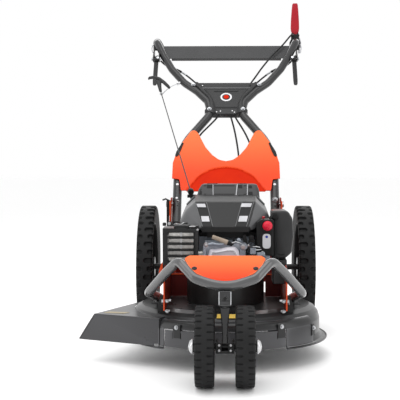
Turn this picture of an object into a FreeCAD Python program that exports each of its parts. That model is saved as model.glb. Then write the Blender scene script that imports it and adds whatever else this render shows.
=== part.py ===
"""Walk-behind brush mower with a rotary deck, a caster with twin front wheels and lug-tyred rear wheels.

Units are millimetres. The model is laid out with X to the machine's left-right (the operator looks along
-Y, the side chute is at -X), Y backwards from the rear axle and Z up from the ground. Every node is moved
by the same ORIGIN when it is written, so the origin ends at the middle of the model's box, on the ground.
"""
import FreeCAD
import Part
import math
import os

os.makedirs("parts", exist_ok=True)

# ---------------------------------------------------------------- driving dimensions
ORIGIN = FreeCAD.Vector(-57.0, -111.0, 0.0)

WHEELBASE = 867.0
REAR_R = 203.0
REAR_IN = 231.0
REAR_OUT = 282.0
REAR_AXLE_R = 9.5
FRONT_R = 100.0
FRONT_IN = 26.0
FRONT_OUT = 73.0
CASTER_Y = -880.0

DECK_Y = -432.0
DECK_R = 270.0
DECK_FLANGE_R = 291.0
DECK_FLANGE_Z = 54.0
DECK_TOP_Z = 152.0
DECK_T = 3.0
DRUM_R = 111.0
DRUM_TOP = 224.0
BELT_Z = 172.0

SIDE_X = 163.0
REAR_PLATE_X = 181.0
PIVOT_Y = 30.0
PIVOT_Z = 410.0

LOWER_TUBE_R = 15.0
UPPER_TUBE_R = 14.0
HANDLE_SLOPE = 0.9
GRIP_X = 270.0
GRIP_Z = 1018.0
BUMPER_R = 12.5
CABLE_R = 3.2
ROPE_R = 1.8
RUN = 0.05

X = FreeCAD.Vector(1, 0, 0)
Y = FreeCAD.Vector(0, 1, 0)
Z = FreeCAD.Vector(0, 0, 1)
SIDES = ((-1, "left"), (1, "right"))


# ---------------------------------------------------------------- helpers
def vec(x, y, z):
    return FreeCAD.Vector(x, y, z)


def box(x0, x1, y0, y1, z0, z1):
    return Part.makeBox(x1 - x0, y1 - y0, z1 - z0, vec(x0, y0, z0))


def rod(start, end, radius):
    """Round bar between two points."""
    axis = vec(*end) - vec(*start)
    return Part.makeCylinder(radius, axis.Length, vec(*start), axis)


def ring(start, end, outer, inner):
    return rod(start, end, outer).cut(rod(start, end, inner))


def prism(points, thickness):
    """Flat polygon pushed along a vector."""
    corners = [vec(*p) for p in points]
    wire = Part.makePolygon(corners + corners[:1])
    return Part.Face(wire).extrude(vec(*thickness))


def revolve(profile, centre, axis):
    """Profile of (radius, height) pairs turned about an axis through centre."""
    side = X if abs(axis.x) < 0.5 else Y
    corners = [centre + side * r + axis * h for r, h in profile]
    face = Part.Face(Part.makePolygon(corners + corners[:1]))
    return face.revolve(centre, axis, 360)


def loft(sections, ruled=True):
    wires = []
    for section in sections:
        corners = [vec(*p) for p in section]
        wires.append(Part.makePolygon(corners + corners[:1]))
    return Part.makeLoft(wires, True, ruled)


def join(shapes):
    first, rest = shapes[0], shapes[1:]
    return first.fuse(rest).removeSplitter() if rest else first


def group(shapes):
    return Part.makeCompound(shapes)


def rounded_wire(points, radius):
    """Straight runs joined by tangent arcs; radius is one value or one for each inner point."""
    pts = [vec(*p) for p in points]
    inner = len(pts) - 2
    radii = radius if isinstance(radius, list) else [radius] * inner
    edges = []
    start = pts[0]
    for i in range(inner):
        before, here, after = pts[i], pts[i + 1], pts[i + 2]
        a = (before - here).normalize()
        b = (after - here).normalize()
        half_turn = (math.pi - a.getAngle(b)) / 2.0
        cut = radii[i] * math.tan(half_turn)
        p, q = here + a * cut, here + b * cut
        toward = (a + b).normalize()
        middle = here + toward * (radii[i] / math.cos(half_turn) - radii[i])
        if (p - start).Length > 1e-4:
            edges.append(Part.LineSegment(start, p).toShape())
        edges.append(Part.Arc(p, middle, q).toShape())
        start = q
    edges.append(Part.LineSegment(start, pts[-1]).toShape())
    return Part.Wire(edges)


def pipe(points, radius, bend, bore=0.0):
    """Tube along rounded_wire."""
    path = rounded_wire(points, bend)
    start = vec(*points[0])
    tangent = vec(*points[1]) - start
    outer = path.makePipeShell([Part.Wire(Part.makeCircle(radius, start, tangent))], True, False)
    solid = Part.Solid(outer) if outer.ShapeType != "Solid" else outer
    if bore:
        hole = path.makePipeShell([Part.Wire(Part.makeCircle(bore, start, tangent))], True, False)
        solid = solid.cut(Part.Solid(hole) if hole.ShapeType != "Solid" else hole)
    return solid


def cord(name, points, radius):
    """Cable tube whose arcs are as large as their two runs allow."""
    pts = [vec(*p) for p in points]
    radii = []
    for a, b, c in zip(pts, pts[1:], pts[2:]):
        half_turn = (math.pi - (a - b).getAngle(c - b)) / 2.0
        shorter = min((a - b).Length, (c - b).Length)
        radii.append(0.45 * shorter / math.tan(half_turn))
    solid = pipe(points, radius, radii)
    length = rounded_wire(points, radii).Length
    share = solid.Volume / (math.pi * radius ** 2 * length)
    print(name, "length", round(length), "radii", [round(r) for r in radii], "volume share", round(share, 4))
    return solid


def handle_point(x, z, off=0.0):
    """Point on the handle's slanted plane; off is how far it stands in front of the plane."""
    tilt = math.hypot(1.0, HANDLE_SLOPE)
    y = 20.0 + HANDLE_SLOPE * (z - 400.0)
    return (x, y - off / tilt, z + off * HANDLE_SLOPE / tilt)


def handle_sheet(outline, front, back):
    """Sheet parallel to the handle's plane, from the front offset to the back offset."""
    corners = [handle_point(x, z, front) for x, z in outline]
    tilt = math.hypot(1.0, HANDLE_SLOPE)
    depth = front - back
    return prism(corners, (0, depth / tilt, -depth * HANDLE_SLOPE / tilt))


def both_sides(right):
    """Outline that is the same on both sides of the middle, from its right half."""
    return right + [(-x, z) for x, z in reversed(right)]


def hex_bolt(at, axis, head_r, head_h, shank_r, shank):
    """Hexagon head standing on a face at a point, with its shank running back into the face."""
    direction = vec(*axis).normalize()
    base = vec(*at)
    side = direction.cross(Z if abs(direction.z) < 0.9 else X).normalize()
    corners = []
    for k in range(6):
        turn = FreeCAD.Rotation(direction, 60.0 * k)
        corners.append(base + turn.multVec(side) * head_r)
    head = Part.Face(Part.makePolygon(corners + corners[:1])).extrude(direction * head_h)
    return head.fuse(Part.makeCylinder(shank_r, shank, base, direction * -1))


nodes = {}


def save(name, shape):
    moved = shape.copy()
    moved.translate(ORIGIN * -1)
    nodes[name] = moved
    moved.exportStep("parts/" + name + ".step")


# ---------------------------------------------------------------- control cables
# Held at both ends and clipped to the tubes. Upper ones: (x, z, distance in front of the handle's plane).
CABLE_END_Z = 270.0
BLADE_CABLE = [(262, 616, 1052), (256, 596, 1050), (240, 573, 1031), (218, 548, 1002), (182, 519, 966),
               (154, 490, 932), (131, 464, 902), (111, 440, 872), (92, 422, 846), (76, 404, 822), (60, 388, 798)]
DRIVE_CABLE = [(252, 944, -7), (240, 940, -19), (225, 934, -24), (209, 926, -23), (192, 915, -16),
               (170, 899, -10), (147, 880, -6), (120, 855, -4), (96, 832, -2), (72, 806, 0)]
LEFT_LOWER = [(-16, 324, 738), (-30, 302, 714), (-58, 276, 684), (-92, 246, 650), (-118, 208, 610),
              (-132, 170, 566), (-136, 128, 518), (-130, 86, 470), (-116, 44, 424), (-98, 8, 378),
              (-82, -12, 332), (-74, -16, 296), (-74, -16, CABLE_END_Z)]
RIGHT_LOWER = [(22, 324, 738), (34, 300, 710), (56, 270, 676), (76, 236, 638), (92, 196, 594),
               (104, 156, 548), (110, 114, 502), (108, 72, 454), (98, 34, 408), (86, 2, 364),
               (76, -14, 326), (72, -16, 294), (72, -16, CABLE_END_Z)]
MIDDLE_LOWER = [(12, 322, 736), (20, 296, 704), (30, 264, 666), (38, 228, 622), (44, 190, 578),
                (46, 150, 532), (44, 110, 486), (40, 70, 440), (36, 34, 394), (33, 6, 350),
                (32, -10, 314), (32, -14, 290), (32, -14, CABLE_END_Z)]
drive_route = [handle_point(*p) for p in DRIVE_CABLE]
throttle_route = [(-x, y, z) for x, y, z in drive_route]
cable_routes = {"blade": BLADE_CABLE, "drive": drive_route, "throttle": throttle_route,
                "left_lower": LEFT_LOWER, "right_lower": RIGHT_LOWER, "middle_lower": MIDDLE_LOWER}
cables = [cord(name, route, CABLE_R) for name, route in cable_routes.items()]


# ---------------------------------------------------------------- deck
CHUTE_START = (-172.0, -662.0)
CHUTE_OUT = (-0.912, 0.410)
CHUTE_BACK = (0.410, 0.912)
CHUTE_LONG = 256.0
CHUTE_TOP_LONG = 206.0
CHUTE_DEEP = 250.0
CHUTE_LOW = 60.0
CHUTE_HIGH = 134.0
FLAP_HALF = 160.0
FLAP_R = 286.0
HINGE_Y = -713.0
HINGE_Z = 112.0


def chute_point(out, back, z):
    x = CHUTE_START[0] + CHUTE_OUT[0] * out + CHUTE_BACK[0] * back
    y = CHUTE_START[1] + CHUTE_OUT[1] * out + CHUTE_BACK[1] * back
    return (x, y, z)


def chute_block(out0, out1, back0, back1, low, high):
    base = [chute_point(o, b, low) for o, b in ((out0, back0), (out1, back0), (out1, back1), (out0, back1))]
    return prism(base, (0, 0, high - low))


def deck_shell():
    centre = vec(0, DECK_Y, 0)
    top = DECK_TOP_Z
    outer = [(40, top), (215, top), (240, top - 5), (255, top - 13), (265, top - 25), (DECK_R, top - 42),
             (DECK_R, DECK_FLANGE_Z + 20), (DECK_R + 8, DECK_FLANGE_Z + 6), (DECK_FLANGE_R, DECK_FLANGE_Z + 3)]
    inner = [(DECK_FLANGE_R, DECK_FLANGE_Z), (DECK_R + 5, DECK_FLANGE_Z), (DECK_R - DECK_T, DECK_FLANGE_Z + 18),
             (DECK_R - DECK_T, top - 43), (262, top - 27), (253, top - 16), (239, top - 8), (215, top - DECK_T),
             (40, top - DECK_T)]
    shell = revolve(outer + inner, centre, Z)
    front = box(-FLAP_HALF - 4, FLAP_HALF + 4, DECK_Y - 310, DECK_Y - 200, 40, 102)
    outlet = chute_block(-40, 320, 5, CHUTE_DEEP - 6, 40, 124)
    return shell.cut(front).cut(outlet)


def chute_deflector():
    """Side discharge hood: front wall, top sheet and back wall, open below and at its outer end."""
    def block(inset, beyond):
        """Solid hood; beyond is how far it runs past the open end."""
        rear = CHUTE_DEEP - inset
        low, high = CHUTE_LOW - inset, CHUTE_HIGH - inset
        foot, brow = CHUTE_LONG + beyond, CHUTE_TOP_LONG + beyond
        return loft([
            [chute_point(-60, back, low), chute_point(foot, back, low), chute_point(brow, back, high),
             chute_point(-60, back, high)] for back in (inset, rear)
        ])
    sheet = block(0.0, 0.0).cut(block(DECK_T, 400.0))
    clear = Part.makeCylinder(DECK_FLANGE_R + 1.0, 66.0, vec(0, DECK_Y, 0), Z)
    dome = revolve([(0, 0), (DECK_R + 1, 0), (DECK_R + 1, 110.5), (266, 128), (256, 140), (241, 148), (0, 148)],
                   vec(0, DECK_Y, 0), Z)
    sheet = sheet.cut(clear).cut(dome).cut(chute_block(-80, 2, -5, 24, 50, 140))
    wall_foot = prism([chute_point(14, 0, CHUTE_LOW), chute_point(CHUTE_LONG - 10, 0, CHUTE_LOW),
                       chute_point(CHUTE_LONG - 10, 12, CHUTE_LOW), chute_point(14, 12, CHUTE_LOW)], (0, 0, DECK_T))
    return join([biggest(sheet), wall_foot.cut(clear)]).cut(deck_shell())


def biggest(shape):
    return max(shape.Solids, key=lambda s: s.Volume)


def front_flap():
    """Curved apron across the front of the deck, hung from knuckles on its hinge rod."""
    centre = vec(0, DECK_Y, 60)
    sheet = Part.makeCylinder(FLAP_R + DECK_T, 44, centre, Z).cut(Part.makeCylinder(FLAP_R, 44, centre, Z))
    sheet = sheet.common(box(-FLAP_HALF, FLAP_HALF, DECK_Y - 300, DECK_Y - 200, 60, 104))
    parts = [sheet]
    for x in (-131, -45, 45, 131):
        start, end = (x - 12, HINGE_Y, HINGE_Z), (x + 12, HINGE_Y, HINGE_Z)
        knuckle = rod(start, end, 6.5)
        edge_y = DECK_Y - math.sqrt(FLAP_R ** 2 - (abs(x) + 12) ** 2)
        low_y = min(edge_y - 1, HINGE_Y - 5)
        parts.append(knuckle)
        parts.append(box(x - 12, x + 12, low_y, max(edge_y, HINGE_Y + 1), 97, HINGE_Z - 4))
    solid = join(parts)
    return solid.cut(rod((-200, HINGE_Y, HINGE_Z), (200, HINGE_Y, HINGE_Z), 3.0 + RUN))


def flap_hinge_rod():
    """Rod that the flap hangs on."""
    return rod((-152, HINGE_Y, HINGE_Z), (158, HINGE_Y, HINGE_Z), 3.0)


def hinge_bracket(x):
    """Slotted bracket on the deck shoulder that carries the hinge rod."""
    wall_y = DECK_Y - math.sqrt(262.0 ** 2 - x ** 2)
    plate = box(x - 3, x + 3, HINGE_Y - 6, wall_y + 6, HINGE_Z - 8, HINGE_Z + 10)
    ear = box(x - 14, x + 14, wall_y - 10, wall_y - 6, HINGE_Z + 4, HINGE_Z + 26)
    lug = box(x - 14, x + 14, wall_y - 10, wall_y + 24, HINGE_Z + 22, HINGE_Z + 26)
    solid = join([plate, ear, lug])
    dome = revolve([(0, 0), (DECK_R + 0.2, 0), (DECK_R + 0.2, 110), (265.2, 127), (255.2, 139.2),
                    (240.2, 147.2), (215, 152.2), (0, 152.2)], vec(0, DECK_Y, 0), Z)
    return solid.cut(dome).cut(rod((x - 9, HINGE_Y, HINGE_Z), (x + 9, HINGE_Y, HINGE_Z), 3.0))


save("chute_deflector", chute_deflector())
save("front_flap", front_flap())
save("flap_hinge", group([biggest(hinge_bracket(-149)), biggest(hinge_bracket(155)), flap_hinge_rod()]))


# ---------------------------------------------------------------- wheels and axles
REAR_RIM_R = 148.0
FRONT_RIM_R = 62.0


def tyre(x0, x1, y, z, radius, rim_r):
    half = (x1 - x0) / 2.0
    profile = [(rim_r, half - 6), (rim_r + 8, half - 1), (radius - 22, half), (radius - 7, half - 4),
               (radius, half - 12)]
    mirror = [(r, -h) for r, h in reversed(profile)]
    return revolve(profile + mirror, vec((x0 + x1) / 2.0, y, z), X)


def rim(x0, x1, y, z, rim_r, hub_r, hub_half, bore, holes):
    half = (x1 - x0) / 2.0 - 6
    outer = [(bore, hub_half), (hub_r, hub_half), (hub_r, 3), (rim_r - 5, 3), (rim_r - 5, half), (rim_r, half)]
    centre = vec((x0 + x1) / 2.0, y, z)
    solid = revolve(outer + [(r, -h) for r, h in reversed(outer)], centre, X)
    ring_r = (hub_r + rim_r - 5) / 2.0
    for k in range(holes):
        angle = 2 * math.pi * k / holes
        hole = vec(centre.x - 10, y + ring_r * math.cos(angle), z + ring_r * math.sin(angle))
        solid = solid.cut(Part.makeCylinder((rim_r - 5 - hub_r) * 0.28, 20, hole, X))
    return solid


for sign, side in SIDES:
    low, high = sorted((sign * REAR_IN, sign * REAR_OUT))
    middle = (low + high) / 2.0
    save("rear_tyre_" + side, tyre(low, high, 0, REAR_R, REAR_R, REAR_RIM_R))
    save("rear_rim_" + side, rim(low, high, 0, REAR_R, REAR_RIM_R, 32, 20, REAR_AXLE_R, 6))
    shaft = rod((sign * 40, 0, REAR_R), (middle + sign * 34, 0, REAR_R), REAR_AXLE_R)
    save("axle_shaft_" + side, shaft)

bearings = []
for sign, _ in SIDES:
    bearings.append(ring((sign * 170, 0, REAR_R), (sign * 196, 0, REAR_R), 18, REAR_AXLE_R + RUN))
save("axle_bearings", group(bearings))

for sign, side in SIDES:
    low, high = sorted((sign * FRONT_IN, sign * FRONT_OUT))
    middle = (low + high) / 2.0
    save("front_tyre_" + side, tyre(low, high, -WHEELBASE, FRONT_R, FRONT_R, FRONT_RIM_R))
    save("front_rim_" + side, rim(low, high, -WHEELBASE, FRONT_R, FRONT_RIM_R, 22, 22, 8 + RUN, 5))

pieces = [rod((-84, -WHEELBASE, FRONT_R), (84, -WHEELBASE, FRONT_R), 8)]
for sign, _ in SIDES:
    cap = revolve([(0, 0), (18, 0), (18, 5), (14, 11), (7, 14), (0, 15)],
                  vec(sign * 75.5, -WHEELBASE, FRONT_R), X * sign)
    pieces.append(cap.cut(pieces[0]))
save("front_axle", group(pieces))


def caster_stem():
    """Swivel shaft that flattens into the block holding the front axle."""
    shaft = rod((0, CASTER_Y, 180), (0, CASTER_Y, 232), 10)
    front, back = CASTER_Y - 11, CASTER_Y + 11
    neck = loft([
        [(-8, front, 110), (8, front, 110), (8, back, 110), (-8, back, 110)],
        [(-11, front, 190), (11, front, 190), (11, back, 190), (-11, back, 190)],
    ])
    block = box(-23, 23, CASTER_Y - 10, -WHEELBASE + 14, 86, 116)
    solid = join([shaft, neck, block])
    return solid.cut(rod((-30, -WHEELBASE, FRONT_R), (30, -WHEELBASE, FRONT_R), 8))


save("caster_stem", caster_stem())


# ---------------------------------------------------------------- chassis and bumper
def mirrored(points):
    return points + [(-x, y, z) for x, y, z in reversed(points[:-1])]


BUMPER = mirrored([(-190, -470, 166), (-205, -650, 202), (-153, -740, 266), (-117, -800, 304),
                   (-75, -850, 265), (0, CASTER_Y, 244)])


def side_plate(x0, x1):
    outline = [(-640, 153), (-640, 262), (-585, 271), (-420, 240), (-60, 240), (-60, 160), (-250, 153)]
    plate = prism([(x0, y, z) for y, z in outline], (x1 - x0, 0, 0))
    for y in (-610, -330):
        plate = plate.cut(rod((x0 - 1, y, 172), (x1 + 1, y, 172), 5))
    return plate


def rear_plate(x0, x1):
    outline = [(-60, 152), (-60, 262), (-24, 330), (-8, 424), (0, 432), (60, 432), (68, 424), (84, 300), (90, 152)]
    plate = prism([(x0, y, z) for y, z in outline], (x1 - x0, 0, 0))
    plate = plate.cut(rod((x0 - 1, 0, REAR_R), (x1 + 1, 0, REAR_R), 18))
    return plate.cut(rod((x0 - 1, PIVOT_Y, PIVOT_Z), (x1 + 1, PIVOT_Y, PIVOT_Z), 6))


def bumper_tube():
    radii = [40, 120, 34, 34, 90, 34, 34, 120, 40]
    foot_plates = []
    for sign, _ in SIDES:
        foot_plates.append(box(sign * 190 - 20, sign * 190 + 20, -500, -440, DECK_TOP_Z + 0.4, DECK_TOP_Z + 4))
        foot_plates.append(box(sign * 190 - 5, sign * 190 + 5, -480, -460, DECK_TOP_Z + 3, DECK_TOP_Z + 12))
    socket = box(-15, 15, CASTER_Y - 15, CASTER_Y + 15, 204, 240)
    frame = join([pipe(BUMPER, BUMPER_R, radii), socket] + foot_plates)
    return frame.cut(rod((0, CASTER_Y, 200), (0, CASTER_Y, 232.5), 10 + RUN))


def front_shield():
    """Plate lying over the dip of the bumper tube."""
    top_y, top_z, low_y, low_z = -797.0, 314.0, -872.0, 259.5
    outline = [(-90, 0.0), (90, 0.0), (101, 0.10), (92, 0.38), (74, 0.64), (50, 0.84), (25, 0.96), (0, 1.0)]
    outline += [(-x, s) for x, s in reversed(outline[2:-1])]
    corners = [(x, top_y + (low_y - top_y) * s, top_z + (low_z - top_z) * s) for x, s in outline]
    return prism(corners, (0, -2.3, 3.3))


plates = []
for sign, side in SIDES:
    low, high = sorted((sign * SIDE_X, sign * (SIDE_X + 3)))
    plates.append(side_plate(low, high))
    low, high = sorted((sign * REAR_PLATE_X, sign * (REAR_PLATE_X + 3)))
    plates.append(rear_plate(low, high))
save("cross_members", group([
    box(-SIDE_X, -81, -353, -350, 153, 222),
    box(118, SIDE_X, -353, -350, 153, 222),
    box(-REAR_PLATE_X, -66, -60, -57, 160, 257),
    box(66, REAR_PLATE_X, -60, -57, 160, 257),
    box(-REAR_PLATE_X, REAR_PLATE_X, 80, 83, 165, 260),
    box(-100, 100, -60, 80, 257, 260),
]))
save("bumper_tube", bumper_tube())
save("front_shield", front_shield().cut(bumper_tube()))
screws = []
for sign, _ in SIDES:
    screws.append(rod((sign * 74, -833.5, 292.6), (sign * 74, -836.0, 296.2), 6))
save("shield_screws", group(screws))
pivots = [rod((sign * 150, PIVOT_Y, PIVOT_Z), (sign * (REAR_PLATE_X + 3.2), PIVOT_Y, PIVOT_Z), 6)
          for sign, _ in SIDES]
bolts = [pivots[0], join([pivots[1], hex_bolt((REAR_PLATE_X + 3, PIVOT_Y, PIVOT_Z), (1, 0, 0), 12, 8, 3, 2)])]
for sign, _ in SIDES:
    for y in (-610, -330):
        bolts.append(hex_bolt((sign * (SIDE_X + 3), y, 172), (sign, 0, 0), 8, 6, 5, 12))
    bolts.append(hex_bolt((sign * (SIDE_X + 3), -560, 232), (sign, 0, 0), 8, 6, 2, 2.9))
for x, y in ((-160, -556), (-120, -596)):
    bolts.append(hex_bolt((x, y, DECK_TOP_Z), (0, 0, 1), 9, 9, 4, 8))
for x, y, _ in (LEFT_LOWER[-1], RIGHT_LOWER[-1], MIDDLE_LOWER[-1]):
    bolts.append(rod((x, y, 260), (x, y, CABLE_END_Z), 6))
bolts = group(bolts)
save("frame_bolts", bolts)
save("chassis_plates", group([plate.cut(bolts) for plate in plates]))
save("deck_shell", deck_shell().cut(bolts))


# ---------------------------------------------------------------- blade drive
BLADE_Z = 74.0
SHAFT_R = 12.5
GEAR_Y = -90.0
DRIVE_PULLEY_R = 30.0
GEAR_PULLEY_R = 48.0
BELT_W = 10.0


def pulley(centre, radius, bore):
    """Flat-bottomed groove between two cheeks."""
    half = BELT_W / 2.0 + 0.6
    profile = [(bore, -half - 4), (radius + 8, -half - 4), (radius + 8, -half), (radius - 0.4, -half),
               (radius - 0.4, half), (radius + 8, half), (radius + 8, half + 4), (bore, half + 4)]
    return revolve(profile, centre, Z)


def drive_belt():
    """Flat loop round both pulleys."""
    def loop(extra):
        small, large = DRIVE_PULLEY_R + extra, GEAR_PULLEY_R + extra
        gap = GEAR_Y - DECK_Y
        lean = math.asin((large - small) / gap)
        side = []
        for sign in (1, -1):
            a = (sign * small * math.cos(lean), DECK_Y - small * math.sin(lean), BELT_Z - BELT_W / 2)
            b = (sign * large * math.cos(lean), GEAR_Y - large * math.sin(lean), BELT_Z - BELT_W / 2)
            side.append((vec(*a), vec(*b)))
        far = vec(0, GEAR_Y + large, BELT_Z - BELT_W / 2)
        near = vec(0, DECK_Y - small, BELT_Z - BELT_W / 2)
        edges = [Part.LineSegment(side[0][0], side[0][1]).toShape(), Part.Arc(side[0][1], far, side[1][1]).toShape(),
                 Part.LineSegment(side[1][1], side[1][0]).toShape(), Part.Arc(side[1][0], near, side[0][0]).toShape()]
        return Part.Face(Part.Wire(edges)).extrude(Z * BELT_W)
    return loop(6.0).cut(loop(0.0))


def blade():
    """Bar blade with sharpened leading edges and upturned tips."""
    bar = box(-30, 30, DECK_Y - 40, DECK_Y + 40, BLADE_Z - 2, BLADE_Z + 2)
    parts = [box(-255, 255, DECK_Y - 28, DECK_Y + 28, BLADE_Z - 2, BLADE_Z + 2), bar]
    for sign, _ in SIDES:
        wing = [(sign * 170, DECK_Y + sign * 10, BLADE_Z + 1), (sign * 170, DECK_Y + sign * 28, BLADE_Z + 1),
                (sign * 170, DECK_Y + sign * 40, BLADE_Z + 14), (sign * 170, DECK_Y + sign * 37, BLADE_Z + 15)]
        parts.append(prism(wing, (sign * 70, 0, 0)))
    return join(parts).cut(rod((0, DECK_Y, 60), (0, DECK_Y, 90), 9))


save("crankshaft", rod((0, DECK_Y, BLADE_Z + 8), (0, DECK_Y, 392), SHAFT_R))
hub = join([pulley(vec(0, DECK_Y, BELT_Z), DRIVE_PULLEY_R, SHAFT_R),
            ring((0, DECK_Y, 100), (0, DECK_Y, 168), 20, SHAFT_R),
            ring((0, DECK_Y, BLADE_Z + 8), (0, DECK_Y, 100), 34, SHAFT_R),
            rod((0, DECK_Y, BLADE_Z + 2), (0, DECK_Y, BLADE_Z + 8), 34)])
bolt = hex_bolt((0, DECK_Y, BLADE_Z - 6), (0, 0, -1), 13, 9, 9, 8)
washer = rod((0, DECK_Y, BLADE_Z - 6), (0, DECK_Y, BLADE_Z - 2), 24)
save("blade_hub", group([hub, join([bolt, washer])]))
save("blade", blade())
wheel = join([pulley(vec(0, GEAR_Y, BELT_Z), GEAR_PULLEY_R, 8),
              ring((0, GEAR_Y, BELT_Z - 11), (0, GEAR_Y, BELT_Z + 16), 14, 8)])
save("gearbox_pulley", group([wheel, rod((0, GEAR_Y, 160), (0, GEAR_Y, 222), 8)]))
save("drive_belt", drive_belt())
gearbox = join([box(-48, 48, -50, 48, 186, 250), box(-30, 30, -118, -40, 194, 242),
                rod((-64, 0, REAR_R), (64, 0, REAR_R), 30)])
gearbox = gearbox.cut(rod((0, GEAR_Y, 180), (0, GEAR_Y, 226), 8 + RUN))
for sign, _ in SIDES:
    gearbox = gearbox.cut(rod((sign * 34, 0, REAR_R), (sign * 80, 0, REAR_R), REAR_AXLE_R + RUN))
save("gearbox", join([gearbox, box(-20, 20, -20, 20, 250, 257)]))

# ---------------------------------------------------------------- engine
BLOCK_TOP = 345.0
COVER_T = 3.0
HEAD_Y = -640.0


def engine_block():
    body = box(-92, 92, -520, -335, DRUM_TOP + 8, BLOCK_TOP)
    body = body.makeFillet(14, [e for e in body.Edges if abs(e.tangentAt(e.FirstParameter).z) > 0.9])
    parts = [rod((0, DECK_Y, DRUM_TOP), (0, DECK_Y, DRUM_TOP + 8), 108), body,
             box(-42, 42, -602, -510, 250, 330), box(-34, 34, -340, -276, 300, 330)]
    for k in range(6):
        y = -594 + 13 * k
        parts.append(box(-56, 56, y, y + 3.5, 242, 338))
    neck = [rod((-88, -370, 285), (-148, -370, 285), 9), rod((-148, -370, 276), (-148, -370, 350), 10)]
    return join(parts + neck).cut(rod((0, DECK_Y, 200), (0, DECK_Y, 400), SHAFT_R + RUN)) \
        .cut(rod((-148, -370, 300), (-148, -370, 360), 4.5))


def cylinder_head():
    parts = [box(-54, 54, HEAD_Y, -602, 244, 334)]
    for x in (-51, 51):
        for z in (252, 326):
            parts.append(rod((x, HEAD_Y - 6, z), (x, -604, z), 8))
    head = join(parts)
    for k in range(3):
        y = -632 + 10 * k
        head = head.cut(box(-70, -40, y, y + 5, 262, 316)).cut(box(40, 70, y, y + 5, 262, 316))
    return head


def valve_cover():
    body = box(-42, 38, HEAD_Y - 40, HEAD_Y, 248, 328)
    body = body.makeFillet(12, [e for e in body.Edges if abs(e.tangentAt(e.FirstParameter).y) > 0.9])
    front = [e for e in body.Edges if e.BoundBox.YMax < HEAD_Y - 39.5]
    return body.makeFillet(6, front)


def hood_section(y, widths, heights, inset):
    """Ring of eight corners across the blower cover: foot, side, shoulder and top on each side."""
    half = [w - inset for w in widths]
    up = [heights[0] - (2 if inset else 0), heights[1], heights[2] - inset, heights[3] - inset]
    right = [(half[k], y, up[k]) for k in range(4)]
    return right + [(-x, yy, z) for x, yy, z in reversed(right)]


def hood(inset):
    ends = inset * 1.2
    return loft([hood_section(-600 + ends, (58, 62, 64, 62), (368, 372, 378, 384), inset),
                 hood_section(-520, (106, 128, 112, 84), (356, 385, 415, 441), inset),
                 hood_section(-420, (122, 132, 115, 86), (350, 382, 425, 456), inset),
                 hood_section(-290 - ends, (118, 126, 108, 84), (350, 385, 430, 456), inset)])


def blower_cover():
    def plateau(inset):
        wide, top = 84 - inset, 488 - inset
        front, back = -416 + inset, -292 - inset
        foot = [(-wide, front, 430), (wide, front, 430), (wide, back, 430), (-wide, back, 430)]
        brow_front, brow_back = -384 + inset, -302 - inset
        brow = [(6 - wide, brow_front, top), (wide - 6, brow_front, top), (wide - 12, brow_back, top),
                (12 - wide, brow_back, top)]
        return loft([foot, brow])
    shell = hood(0).fuse(plateau(0)).cut(hood(COVER_T).fuse(plateau(COVER_T)))
    for sign, _ in SIDES:
        for y in (-366, -342, -318):
            shell = shell.cut(box(*sorted((sign * 26, sign * 66)), y - 5, y + 5, 480, 492))
    return biggest(shell)


def blower_housing():
    """Black fan housing between the crankcase and the cover, with the fan turning inside."""
    wall = join([box(-83.5, 83.5, -540, -310, BLOCK_TOP, 364), box(-50, 50, -580, -540, BLOCK_TOP, 364)])
    pocket = rod((0, DECK_Y, BLOCK_TOP + 3), (0, DECK_Y, 370), 81)
    front = box(-47, 47, -577, -500, BLOCK_TOP + 3, 370)
    return wall.cut(pocket).cut(front).cut(rod((0, DECK_Y, 340), (0, DECK_Y, 350), 20))


def flywheel():
    disc = ring((0, DECK_Y, 352), (0, DECK_Y, 362), 70, SHAFT_R)
    blades = []
    for k in range(12):
        fin = box(40, 78, DECK_Y - 1.5, DECK_Y + 1.5, 360, 378)
        fin.rotate(vec(0, DECK_Y, 0), Z, 30 * k)
        blades.append(fin)
    return join([disc, ring((0, DECK_Y, 362), (0, DECK_Y, 386), 34, SHAFT_R)] + blades)


drum = ring((0, DECK_Y, DECK_TOP_Z), (0, DECK_Y, DRUM_TOP), DRUM_R, DRUM_R - 4)
save("engine_drum", drum.cut(box(-64, 64, DECK_Y + 60, DECK_Y + 140, BELT_Z - 14, BELT_Z + 14)))
save("engine_block", engine_block())
save("cylinder_head", cylinder_head())
save("valve_cover", valve_cover())
plug = rod((30, -622, 334), (18, -630, 341), 7)
boot = rod((7, -637, 346), (-36, -637, 361), 8)
elbow = rod((18, -630, 341), (7, -637, 346), 7)
save("spark_plug_boot", join([plug, elbow, boot]).cut(cylinder_head()))
save("blower_housing", blower_housing())
save("flywheel", flywheel())
save("blower_cover", blower_cover())


def muffler_guard():
    """Slotted heat guard over the front, top and sides of the muffler, with a raised clip on its top."""
    guard = box(-168, -73, -640, -548, 276, 374).cut(box(-165.5, -75.5, -637.5, -540, 278.5, 371.5))
    for k in range(5):
        z = 291 + 16.6 * k
        guard = guard.cut(box(-154, -83, -645, -630, z - 5.7, z + 5.7))
    for k in range(4):
        guard = guard.cut(box(-172, -162, -625 + 18 * k, -615 + 18 * k, 290, 355))
    return guard.fuse(box(-130, -104, -640, -620, 374, 379)).removeSplitter()


muffler = box(-157, -80, -628, -560, 282, 366)
muffler = muffler.makeFillet(10, [e for e in muffler.Edges if abs(e.tangentAt(e.FirstParameter).z) > 0.9])
pipe_stub = rod((-82, -600, 300), (-56, -600, 300), 11)
save("muffler", join([muffler, pipe_stub]).cut(hood(0)))
save("muffler_guard", muffler_guard().cut(rod((-82, -600, 300), (-56, -600, 300), 11.6)).cut(hood(0)))

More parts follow.
